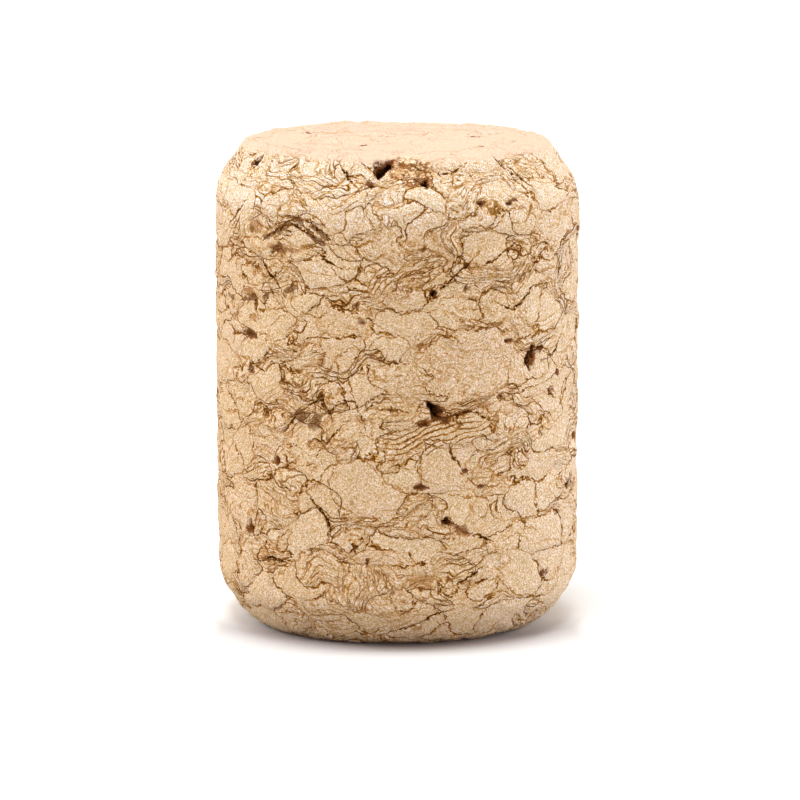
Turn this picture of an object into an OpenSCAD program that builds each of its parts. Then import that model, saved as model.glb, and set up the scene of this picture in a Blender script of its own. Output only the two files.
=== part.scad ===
// Agglomerated cork stopper: a ground cylinder of pressed cork granules with a chamfer at each end.
// The granules don't fill it quite, so small cornered pits and winding open seams break its skin,
// and shallow grooves mark where one granule ends and the next begins.
// Millimetres. Z runs up the axis from the lower end face. Azimuth 0 faces -Y and grows towards +X.

/* [Body] */
// Diameter of the straight side
body_d = 24; // [20:0.5:30]
// Height from one end face to the other
body_h = 32; // [26:0.5:50]

/* [Ends] */
// How far both chamfers come in from the side
chamfer_in = 2; // [1.5:0.1:2.6]
// How far both chamfers reach along the side
chamfer_len = 2.8; // [2.4:0.1:3.6]
// Radius of the shoulder where a chamfer meets the side
shoulder_r = 3; // [1:0.5:3.5]
// Radius of the crisp lip round the upper face
upper_lip_r = 0.6; // [0.2:0.1:1.2]
// Radius of the worn lip round the lower face
lower_lip_r = 2; // [0.5:0.1:2.2]

/* [Voids] */
// Size of every pit, against the listed one
pit_scale = 1; // [0.7:0.05:1.2]
// Width of the open seams
seam_w = 0.22; // [0.16:0.02:0.3]
// Depth of the open seams at their middle
seam_depth = 0.5; // [0.3:0.05:0.8]
// Width of the grooves between pressed granules
border_w = 0.26; // [0.2:0.02:0.34]
// Depth of the grooves between pressed granules
border_depth = 0.14; // [0.1:0.02:0.2]
// Pits scattered over the far side
far_pits = 30; // [0:1:40]
// Open seams scattered over the far side
far_seams = 30; // [0:1:40]
// Grooves scattered over the far side
far_borders = 32; // [0:1:36]
// Crumbs lost from the broken edge of the upper chamfer
crumbs = 13; // [0:1:18]

/* [Hidden] */
cork = [0.80, 0.66, 0.47];

body_r = body_d / 2;
chamfer_lean = atan(chamfer_in / chamfer_len);
chamfer_top = body_h - chamfer_len;
facets = 96;

// Voids start this far outside the skin, so that they cut it cleanly.
cover = 0.25;

// Sides of a pit, fewer where it is shorter than this.
pit_sides = 10;
small_pit_sides = 8;
small_pit = 0.8;

// Steps that a V takes between two knots of its route.
seam_steps = 3;
border_steps = 2;

// The far side is what the front's own voids, listed below, leave over.
far_start = 68;
far_span = 360 - 2 * far_start;

// Pits of the front: azimuth, height, length, width, depth, corners, turn.
front_pits = [
    [-5.5, 31.4, 1.5, 0.8, 1.2, 3, 40],     // black hollow at the broken edge
    [-9, 30.4, 0.5, 0.35, 0.4, 3, 0],
    [9.3, 30.6, 0.7, 0.5, 0.6, 3, 60],
    [-59, 31.2, 0.9, 0.5, 0.8, 3, 55],
    [27, 29.2, 0.5, 0.35, 0.4, 4, 0],
    [38.5, 29.1, 0.9, 0.3, 0.4, 2, 15],
    [22, 23.8, 0.35, 0.3, 0.4, 3, 20],
    [11.3, 23.5, 0.55, 0.35, 0.6, 3, 30],
    [-13, 22.7, 0.45, 0.25, 0.4, 3, 40],
    [-11, 21.6, 0.5, 0.45, 0.3, 4, 20],
    [37.5, 20.1, 0.7, 0.25, 0.4, 2, 5],
    [41, 20.5, 0.35, 0.25, 0.3, 3, 30],
    [46, 18.8, 1.5, 0.8, 0.8, 3, 60],       // largest open pit
    [50, 19.2, 0.9, 0.35, 0.5, 2, 15],
    [-53, 20.1, 1.3, 0.45, 0.4, 4, 175],
    [-52.5, 17.8, 0.5, 0.45, 0.4, 3, 90],
    [56.8, 16.3, 0.5, 0.4, 0.4, 4, 0],
    [61, 17.4, 0.45, 0.4, 0.4, 3, 0],
    [11.7, 15.9, 1.2, 0.75, 1.4, 3, 130],   // black hole in the middle
    [14.6, 15.3, 1.0, 0.4, 0.4, 3, 165],
    [8.3, 15.1, 1.0, 0.4, 0.4, 3, 200],
    [33.6, 16.5, 0.5, 0.25, 0.4, 2, 20],
    [21, 11.8, 0.45, 0.2, 0.4, 2, 10],
    [-40.6, 12.1, 0.5, 0.4, 0.4, 3, 0],
    [7, 10.9, 1.0, 0.35, 0.4, 4, 0],
    [26.8, 10.7, 0.6, 0.18, 0.3, 2, 175],
    [15.5, 8.6, 0.65, 0.45, 1.0, 4, 10],    // black hole low on the right
    [20.4, 8, 1.3, 0.45, 0.3, 3, 150],
    [-53, 7.3, 0.9, 0.65, 0.5, 3, 90],
    [-9.2, 6, 0.45, 0.22, 0.5, 2, 80],
    [52.8, 4.3, 0.7, 0.5, 0.4, 3, 20],
];

// Open seams of the front, each a route of [azimuth, height] between granules.
front_seams = [
    [[-37, 28.1], [-29, 28], [-24, 27.4], [-20, 26.8]],
    [[-46, 26.5], [-40, 27.3], [-34, 27.7], [-30, 27.3], [-22, 26.5]],
    [[24, 25.7], [18, 24.6], [11.5, 23.6]],
    [[39.5, 26.4], [33.5, 25.7], [26, 25]],
    [[33, 22.6], [38, 22.2], [42, 22.4], [47, 23.4], [54, 23.4]],
    [[-26, 26.1], [-21, 25.4], [-17, 25.1]],
    [[-47, 25.3], [-43, 24.3], [-38, 23.2]],
    [[-28.5, 16], [-22, 15.8], [-16, 16.6], [-12, 16], [-10, 15.3]],
    [[-38, 14.1], [-35, 14.8], [-33, 15.5]],
    [[-17.5, 14.8], [-21, 14], [-24, 13.2]],
    [[16, 15.4], [23, 15.7], [30, 15]],
    [[24, 7.6], [27, 7.4], [31, 7]],
    [[17, 4.3], [23, 4.8], [27, 5.3]],
    [[24, 4.3], [29.5, 4.6]],
    [[-3, 1], [7, 1.7], [11, 2.3], [16, 2.6]],
    [[-29, 10.2], [-24, 9], [-21.5, 8.2], [-22, 7.4]],
    [[-47, 5.4], [-42, 5.6], [-36.5, 5.4]],
    [[-65, 27.2], [-61.5, 27.9], [-58, 28.5]],
    [[-20, 31.4], [-16, 30.7], [-12.5, 30.1]],
    [[38, 31.9], [42, 30.9], [46, 29.7]],
    [[43, 31.2], [49.5, 29.8]],
    [[12.5, 31], [18, 31.1], [23, 31.4]],
    [[53, 19], [58, 18.6], [62, 19.4]],
];

// Grooves between the larger granules of the front, as routes of the same kind.
front_borders = [
    [[-37, 29.6], [-31, 28.9], [-25.5, 28.2], [-20.5, 27.3]],
    [[-60, 26.1], [-54, 26.5], [-48, 26.5]],
    [[-49, 24.8], [-44.5, 23.9], [-38.5, 22.3]],
    [[-34.7, 22.8], [-33, 22.2], [-27.5, 21.9], [-21.5, 22.6]],
    [[-39, 25.4], [-35.5, 25.3], [-32, 24.6]],
    [[-31.5, 25.2], [-26, 24.6], [-20, 24.5]],
    [[-24.5, 28.5], [-18, 29.3], [-12, 29.8]],
    [[10, 30.5], [14, 30], [19.5, 29.3]],
    [[-10.5, 29.6], [-9, 28.3], [-6.6, 27]],
    [[-20.5, 27.2], [-16, 27], [-11, 26.6], [-5.8, 27]],
    [[-17, 25.1], [-10.5, 25.3], [-4, 26], [0, 25.5]],
    [[-2, 23.9], [4, 23.9], [12, 24.6], [18.5, 25.3], [21, 26.6]],
    [[8, 26.6], [2.8, 26.9], [1.8, 28.4]],
    [[1.8, 28.5], [7, 28.8], [12.5, 28.7]],
    [[14.5, 28.6], [20, 28.2], [27, 29]],
    [[-6.8, 22], [-2.5, 22.5], [3, 22.2], [9.3, 22.4]],
    [[-21.5, 22.6], [-17, 22.6], [-12.3, 22.7]],
    [[21, 30.9], [25, 30], [31, 30.4]],
    [[20, 27.4], [27, 27.7], [32, 27.7], [37, 28.6], [41, 28.6]],
    [[39.5, 26.5], [44.5, 26.3], [50, 26.7], [57, 26.2]],
    [[54, 23.7], [59, 23], [64, 22.2]],
    [[-58.5, 20.2], [-53, 20.4], [-45, 20.2]],
    [[-51.5, 18], [-46, 18.9], [-40, 19]],
    [[-54, 15.4], [-48, 15.1], [-43, 15.8], [-38, 15.8]],
    [[-56, 14.2], [-50, 14.1], [-45.5, 14.8], [-39.5, 15.4]],
    [[-32.5, 17.8], [-34.8, 17.1], [-33.5, 15.9]],
    [[-20, 20.8], [-24.5, 20.2], [-20.3, 19]],
    [[-13, 20], [-6, 19.4], [4, 19]],
    [[-9.8, 19.7], [-5, 20.7], [0, 20.8], [4, 19.9]],
    [[4.3, 19.7], [10, 20.1], [18.5, 21.1]],
    [[4, 19], [6, 17.9], [10.8, 17.4]],
    [[-15.2, 18], [-14.2, 17], [-10, 15.5]],
    [[-8, 16], [-3, 16], [5, 15.7]],
    [[20.5, 21.2], [24, 21.1], [28, 21.5], [34, 20.8]],
    [[20, 16.4], [26, 16.7], [32, 16.9], [40, 17.1]],
    [[-38, 11], [-30, 10.2], [-24.5, 11]],
    [[-35, 6], [-30, 6.4], [-22.5, 6.2]],
    [[-30, 1.4], [-22, 1.7], [-17, 2.5]],
    [[-18.5, 12.7], [-21.5, 11], [-19.5, 9.8], [-12, 8.9], [-3.3, 8.3]],
    [[-4, 12.9], [-5, 12], [-3, 11.1], [5, 10.8]],
    [[1, 12.7], [6.5, 13], [7.2, 12], [10, 11.2]],
    [[16.8, 13.8], [17, 13], [20.6, 11.9]],
    [[-14.5, 6.5], [-9.5, 7.5], [-4.5, 8.3], [3, 8.9], [9, 10]],
    [[-3, 8.3], [5, 8], [12, 7.4], [17, 6.9]],
    [[-20, 7.1], [-15, 6.2], [-7.3, 5.5], [-1.5, 4.1], [6, 4.3]],
    [[15, 10.4], [23, 10.1], [29.5, 9.6]],
    [[20.5, 11.6], [27, 10.7], [35, 11]],
    [[36.5, 8.3], [43, 8.2], [50, 8.1]],
    [[29.5, 4.5], [36, 3.9], [42, 3.1], [52, 2.4]],
    [[22.5, 2.8], [30, 3.4], [36, 3.7]],
];

// The broken edge: the middle and half spread of the crumbs, as [azimuth, height].
break_at = [4.5, 31.2];
break_reach = [8, 0.55];

// Steps of two additive sequences that never fall into rows, and of the golden section.
scatter_step = [0.7548777, 0.5698403];
golden_step = 0.618034;

function fraction(x) = x - floor(x);
function between(low, high, share) = low + (high - low) * share;
function drawn(i, low, high) = between(low, high, fraction(0.5 + i * golden_step));

// Radius and lean of the wall at a height, with the chamfers as straight cones.
function wall_r(h) = body_r - chamfer_in * max(0, chamfer_len - h, h - chamfer_top) / chamfer_len;
function wall_lean(h) = h < chamfer_len ? -chamfer_lean : h > chamfer_top ? chamfer_lean : 0;

// The point that lies a distance out from the wall, square to it.
function skin(azimuth, h, out) =
    let (r = wall_r(h) + out * cos(wall_lean(h)))
    [r * sin(azimuth), -r * cos(azimuth), h + out * sin(wall_lean(h))];

// Tangent points and centre of the arc that rounds a convex corner between its two neighbours.
function unit(v) = v / norm(v);
function half_angle(before, at, after) = acos(unit(before - at) * unit(after - at)) / 2;
function arc_start(before, at, after, r) = at + unit(before - at) * r / tan(half_angle(before, at, after));
function arc_centre(before, at, after, r) =
    at + unit(unit(before - at) + unit(after - at)) * r / sin(half_angle(before, at, after));

// Half section of a turned shape: corners are [radius, height, rounding], all convex.
module rounded_section(corners) {
    last = len(corners) - 1;
    point = [for (c = corners) [c[0], c[1]]];
    polygon([for (i = [0 : last])
        each i == 0 || i == last
            ? [point[i]]
            : [arc_start(point[i - 1], point[i], point[i + 1], corners[i][2]),
               arc_start(point[i + 1], point[i], point[i - 1], corners[i][2])]]);
    for (i = [1 : last - 1])
        translate(arc_centre(point[i - 1], point[i], point[i + 1], corners[i][2]))
            circle(r = corners[i][2]);
}

// The body as it comes off the grinder.
module ground_body() {
    rotate_extrude($fn = facets)
        rounded_section([
            [0, 0],
            [body_r - chamfer_in, 0, lower_lip_r],
            [body_r, chamfer_len, shoulder_r],
            [body_r, chamfer_top, shoulder_r],
            [body_r - chamfer_in, body_h, upper_lip_r],
            [0, body_h],
        ], $fn = facets);
}

// A pit with a few corners, as pressed granules leave between them. It opens upwards at the origin,
// its rim reaches out at each corner, and its walls close in on a floor that lies off centre.
module pit(length, width, depth, corners, turn) {
    sides = length < small_pit ? small_pit_sides : pit_sides;
    corner_reach = 0.24;
    ripple = 0.07;
    share = [1.12, 0.8, 0.45];
    level = [cover, -0.4 * depth, -0.8 * depth];
    rings = len(share);
    rim = [for (k = [0 : rings - 1]) for (j = [0 : sides - 1])
        let (a = j * 360 / sides)
        let (lobes = corner_reach * cos(corners * a) + ripple * sin(5 * a + 90 * k))
        let (r = pit_scale / 2 * share[k] * (1 + lobes))
        [length * r * cos(a), width * r * sin(a), level[k]]];
    floor_at = rings * sides;
    lid_at = floor_at + 1;
    walls = [for (k = [0 : rings - 2]) for (j = [0 : sides - 1])
        let (a = k * sides + j, b = k * sides + (j + 1) % sides)
        each [[a, b, b + sides], [a, b + sides, a + sides]]];
    ends = [for (j = [0 : sides - 1])
        let (next = (j + 1) % sides, low = (rings - 1) * sides)
        each [[next, j, lid_at], [low + j, low + next, floor_at]]];
    rotate([0, 0, turn])
        polyhedron(
            points = concat(rim, [[0.08 * length, 0, -depth], [0, 0, cover]]),
            faces = concat(walls, ends));
}

// Carries a void from the origin to the wall, the upper face or the lower face.
module on_wall(azimuth, h) {
    rotate([0, 0, azimuth])
        translate([0, -wall_r(h), h])
            rotate([90 - wall_lean(h), 0, 0])
                children();
}

module on_upper_face(azimuth, r) {
    rotate([0, 0, azimuth])
        translate([0, -r, body_h])
            children();
}

module on_lower_face(azimuth, r) {
    rotate([0, 0, azimuth])
        translate([0, -r, 0])
            rotate([180, 0, 0])
                children();
}

// A V that winds along its route and tapers to a point at both ends: deep and narrow where granules
// have parted, shallow where they only meet. A span between two knots takes the given number of steps.
module seam(route, width, depth, span_steps) {
    wander = 0.07;
    knots = len(route) - 1;
    steps = span_steps * knots;
    azimuths = [for (i = [0 : knots]) [i, route[i][0]]];
    heights = [for (i = [0 : knots]) [i, route[i][1]]];
    path = [for (i = [0 : steps])
        let (t = i / span_steps)
        [lookup(t, azimuths), lookup(t, heights) + wander * sin(i * 137 + route[0][0] * 40)]];
    rings = [for (i = [1 : steps - 1])
        let (taper = 0.35 + 0.65 * sin(180 * i / steps))
        let (run = path[i + 1] - path[i - 1])
        let (ahead = unit([run[0] * body_r * PI / 180, run[1]]))
        let (half = taper * width / 2 * (depth + cover) / depth)
        let (left = half * [-ahead[1] / wall_r(path[i][1]) * 180 / PI, ahead[0]])
        each [skin(path[i][0] + left[0], path[i][1] + left[1], cover),
              skin(path[i][0] - left[0], path[i][1] - left[1], cover),
              skin(path[i][0], path[i][1], -taper * depth)]];
    tail = len(rings);
    head = tail + 1;
    end = tail - 3;
    sides = [for (i = [0 : 3 : end - 3])
        each [[i, i + 3, i + 4], [i, i + 4, i + 1],
              [i + 3, i, i + 2], [i + 3, i + 2, i + 5],
              [i + 1, i + 4, i + 5], [i + 1, i + 5, i + 2]]];
    tips = [[tail, 0, 1], [0, tail, 2], [tail, 1, 2],
            [end, head, end + 1], [head, end, end + 2], [end + 1, head, end + 2]];
    ends = [for (p = [path[0], path[steps]]) skin(p[0], p[1], cover)];
    polyhedron(
        points = concat(rings, ends),
        faces = concat(sides, tips));
}

// What the front lacks: its listed pits, seams and grooves, and the crumbs along the broken edge.
module front_voids() {
    for (p = front_pits)
        on_wall(p[0], p[1])
            pit(p[2], p[3], p[4], p[5], p[6]);
    for (route = front_seams)
        seam(route, seam_w, seam_depth, seam_steps);
    for (route = front_borders)
        seam(route, border_w, border_depth, border_steps);
    for (i = [1 : 1 : crumbs])
        let (ring = sqrt(i / crumbs), a = i * 360 * golden_step)
        on_wall(break_at[0] + break_reach[0] * ring * cos(a), break_at[1] + break_reach[1] * ring * sin(a))
            pit(drawn(i, 0.8, 1.3), drawn(i + 5, 0.5, 0.8), drawn(i + 9, 0.3, 0.5), 3, i * 71);
}

// The far side carries the same kinds of void, spread evenly by the two sequences.
module far_voids() {
    for (i = [1 : 1 : far_pits])
        let (azimuth = far_start + far_span * fraction(i * scatter_step[0]))
        let (h = between(1.5, body_h - 1.2, fraction(i * scatter_step[1])))
        let (length = 0.4 + 1.0 * pow(drawn(i, 0, 1), 3))
        on_wall(azimuth, h)
            pit(length, length * drawn(i + 3, 0.4, 0.7), 0.3 + 0.5 * length, 2 + i % 3, i * 47);
    for (i = [1 : 1 : far_seams])
        let (azimuth = far_start + 5 + (far_span - 10) * fraction(0.3 + i * scatter_step[0]))
        let (h = between(3.5, body_h - 3.5, fraction(0.3 + i * scatter_step[1])))
        let (reach = drawn(i, 3, 7), rise = drawn(i + 7, -1.1, 1.1), bow = drawn(i + 4, -0.5, 0.5))
        seam([[azimuth - reach, h - rise], [azimuth, h + bow], [azimuth + reach, h + rise]],
             seam_w, seam_depth, seam_steps);
    for (i = [1 : 1 : far_borders])
        let (azimuth = far_start + far_span * fraction(0.6 + i * scatter_step[0]))
        let (h = between(2.2, body_h - 2.2, fraction(0.6 + i * scatter_step[1])))
        let (reach = drawn(i, 7, 13), rise = drawn(i + 3, -0.9, 0.9))
        let (bow = (i % 2 == 0 ? 1 : -1) * drawn(i + 6, 0.5, 1.1))
        seam([[azimuth - reach, h - rise], [azimuth - 0.4 * reach, h + bow - 0.4 * rise],
              [azimuth + 0.4 * reach, h + bow + 0.4 * rise], [azimuth + reach, h + rise]],
             border_w, border_depth, border_steps);
}

// Both end faces are ground smooth and keep only a few small pits, clear of their middle.
module face_voids() {
    for (i = [1 : 6])
        let (azimuth = 20 + i * 360 * golden_step, r = between(2.5, 8, fraction(i * scatter_step[0])))
        let (length = drawn(i, 0.4, 0.9)) {
            on_upper_face(azimuth, r)
                pit(length, 0.5 * length, 0.4, 3, i * 40);
            on_lower_face(azimuth + 30, r)
                pit(1.2 * length, 0.6 * length, 0.5, 3, i * 40);
        }
}

module stopper() {
    color(cork)
        difference() {
            ground_body();
            front_voids();
            far_voids();
            face_voids();
        }
}

stopper();
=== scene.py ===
"""Cork stopper: pressed granules with winding seams between them, open pits and a crumbled upper edge."""
import math

import bpy
import numpy as np
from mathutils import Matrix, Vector


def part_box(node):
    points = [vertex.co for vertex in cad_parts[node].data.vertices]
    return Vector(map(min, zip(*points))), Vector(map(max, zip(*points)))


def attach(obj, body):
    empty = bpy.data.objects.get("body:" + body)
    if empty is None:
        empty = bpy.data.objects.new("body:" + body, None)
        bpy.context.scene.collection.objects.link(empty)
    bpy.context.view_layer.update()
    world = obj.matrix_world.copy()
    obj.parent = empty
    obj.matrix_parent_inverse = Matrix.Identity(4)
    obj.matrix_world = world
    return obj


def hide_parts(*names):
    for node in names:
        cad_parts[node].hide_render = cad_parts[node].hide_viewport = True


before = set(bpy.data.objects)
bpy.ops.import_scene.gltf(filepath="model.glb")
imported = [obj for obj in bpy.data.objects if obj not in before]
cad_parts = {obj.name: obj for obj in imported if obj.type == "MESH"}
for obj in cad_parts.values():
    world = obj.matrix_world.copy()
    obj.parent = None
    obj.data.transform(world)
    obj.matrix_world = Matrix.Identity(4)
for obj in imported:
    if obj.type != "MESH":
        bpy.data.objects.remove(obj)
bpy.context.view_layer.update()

# ----------------------------------------
# Sizes of the ground body, in millimetres unless a name says otherwise
# ----------------------------------------

METRE = 1000.0
low_corner, high_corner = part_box("stopper")
BODY_R = round((high_corner.x - low_corner.x) * METRE, 1) / 2
BODY_H = round(high_corner.z * METRE, 1)
CHAMFER_IN = 2.0
CHAMFER_LEN = 2.8
SHOULDER_R = 3.0
UPPER_LIP_R = 0.6
LOWER_LIP_R = 2.0

# The mesh has columns round the body and rings from pole to pole. The columns between the two fine
# ones stand closer together, over FINE_HALF degrees on either side of the front. The rings of an end
# face reach out to FACE_EDGE, and the rest of them share the side and the chamfers.
COLUMNS = 432
FINE_COLUMNS = (91, 341)
FINE_HALF = 70
FACE_RINGS = 22
FACE_EDGE = 8.8
WALL_RINGS = 182

AROUND_TURN = 360.0
SEED = 7

# ----------------------------------------
# What the skin shows on its front. Azimuth is in degrees, 0 faces -Y and grows
# towards +X. Height is in millimetres above the lower face.
# ----------------------------------------

# Pits: azimuth, height, length, width, depth, corners, turn.
FRONT_PITS = [
    (-5.5, 31.4, 1.5, 0.8, 1.2, 3, 40),     # black hollow at the broken edge
    (-9, 30.4, 0.5, 0.35, 0.4, 3, 0),
    (9.3, 30.6, 0.7, 0.5, 0.6, 3, 60),
    (-59, 31.2, 0.9, 0.5, 0.8, 3, 55),
    (27, 29.2, 0.5, 0.35, 0.4, 4, 0),
    (38.5, 29.1, 0.9, 0.3, 0.4, 2, 15),
    (22, 23.8, 0.35, 0.3, 0.4, 3, 20),
    (11.3, 23.5, 0.55, 0.35, 0.6, 3, 30),
    (-13, 22.7, 0.45, 0.25, 0.4, 3, 40),
    (-11, 21.6, 0.5, 0.45, 0.3, 4, 20),
    (37.5, 20.1, 0.7, 0.25, 0.4, 2, 5),
    (41, 20.5, 0.35, 0.25, 0.3, 3, 30),
    (46, 18.8, 1.5, 0.8, 0.8, 3, 60),       # largest open pit
    (50, 19.2, 0.9, 0.35, 0.5, 2, 15),
    (-53, 20.1, 1.3, 0.45, 0.4, 4, 175),
    (-52.5, 17.8, 0.5, 0.45, 0.4, 3, 90),
    (56.8, 16.3, 0.5, 0.4, 0.4, 4, 0),
    (61, 17.4, 0.45, 0.4, 0.4, 3, 0),
    (11.7, 15.9, 1.2, 0.75, 1.4, 3, 130),   # black hole in the middle
    (14.6, 15.3, 1.0, 0.4, 0.4, 3, 165),
    (8.3, 15.1, 1.0, 0.4, 0.4, 3, 200),
    (33.6, 16.5, 0.5, 0.25, 0.4, 2, 20),
    (21, 11.8, 0.45, 0.2, 0.4, 2, 10),
    (-40.6, 12.1, 0.5, 0.4, 0.4, 3, 0),
    (7, 10.9, 1.0, 0.35, 0.4, 4, 0),
    (26.8, 10.7, 0.6, 0.18, 0.3, 2, 175),
    (15.5, 8.6, 0.65, 0.45, 1.0, 4, 10),    # black hole low on the right
    (20.4, 8, 1.3, 0.45, 0.3, 3, 150),
    (-53, 7.3, 0.9, 0.65, 0.5, 3, 90),
    (-9.2, 6, 0.45, 0.22, 0.5, 2, 80),
    (52.8, 4.3, 0.7, 0.5, 0.4, 3, 20),
]

# Open seams: routes of (azimuth, height) where two granules have parted.
FRONT_SEAMS = [
    [(-37, 28.1), (-29, 28), (-24, 27.4), (-20, 26.8)],
    [(-46, 26.5), (-40, 27.3), (-34, 27.7), (-30, 27.3), (-22, 26.5)],
    [(24, 25.7), (18, 24.6), (11.5, 23.6)],
    [(39.5, 26.4), (33.5, 25.7), (26, 25)],
    [(33, 22.6), (38, 22.2), (42, 22.4), (47, 23.4), (54, 23.4)],
    [(-26, 26.1), (-21, 25.4), (-17, 25.1)],
    [(-47, 25.3), (-43, 24.3), (-38, 23.2)],
    [(-34.9, 15.2), (-31.5, 15.6), (-27.9, 16.1), (-25.8, 16.4), (-24.1, 16.8), (-23.5, 16.2), (-21.5, 15.7),
        (-19.8, 16), (-17.9, 16.3), (-14, 16.5), (-12.1, 15.95), (-10.2, 15)],
    [(-38, 14.1), (-35, 14.8), (-33, 15.5)],
    [(-17.5, 14.8), (-21, 14), (-24, 13.2)],
    [(16, 15.4), (23, 15.7), (30, 15)],
    [(24, 7.6), (27, 7.4), (31, 7)],
    [(17, 4.3), (23, 4.8), (27, 5.3)],
    [(24, 4.3), (29.5, 4.6)],
    [(-3, 1), (7, 1.7), (11, 2.3), (16, 2.6)],
    [(-29, 10.2), (-24, 9), (-21.5, 8.2), (-22, 7.4)],
    [(-47, 5.4), (-42, 5.6), (-36.5, 5.4)],
    [(-65, 27.2), (-61.5, 27.9), (-58, 28.5)],
    [(-20, 31.4), (-16, 30.7), (-12.5, 30.1)],
    [(38, 31.9), (42, 30.9), (46, 29.7)],
    [(43, 31.2), (49.5, 29.8)],
    [(12.5, 31), (18, 31.1), (23, 31.4)],
    [(53, 19), (58, 18.6), (62, 19.4)],
]

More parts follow.
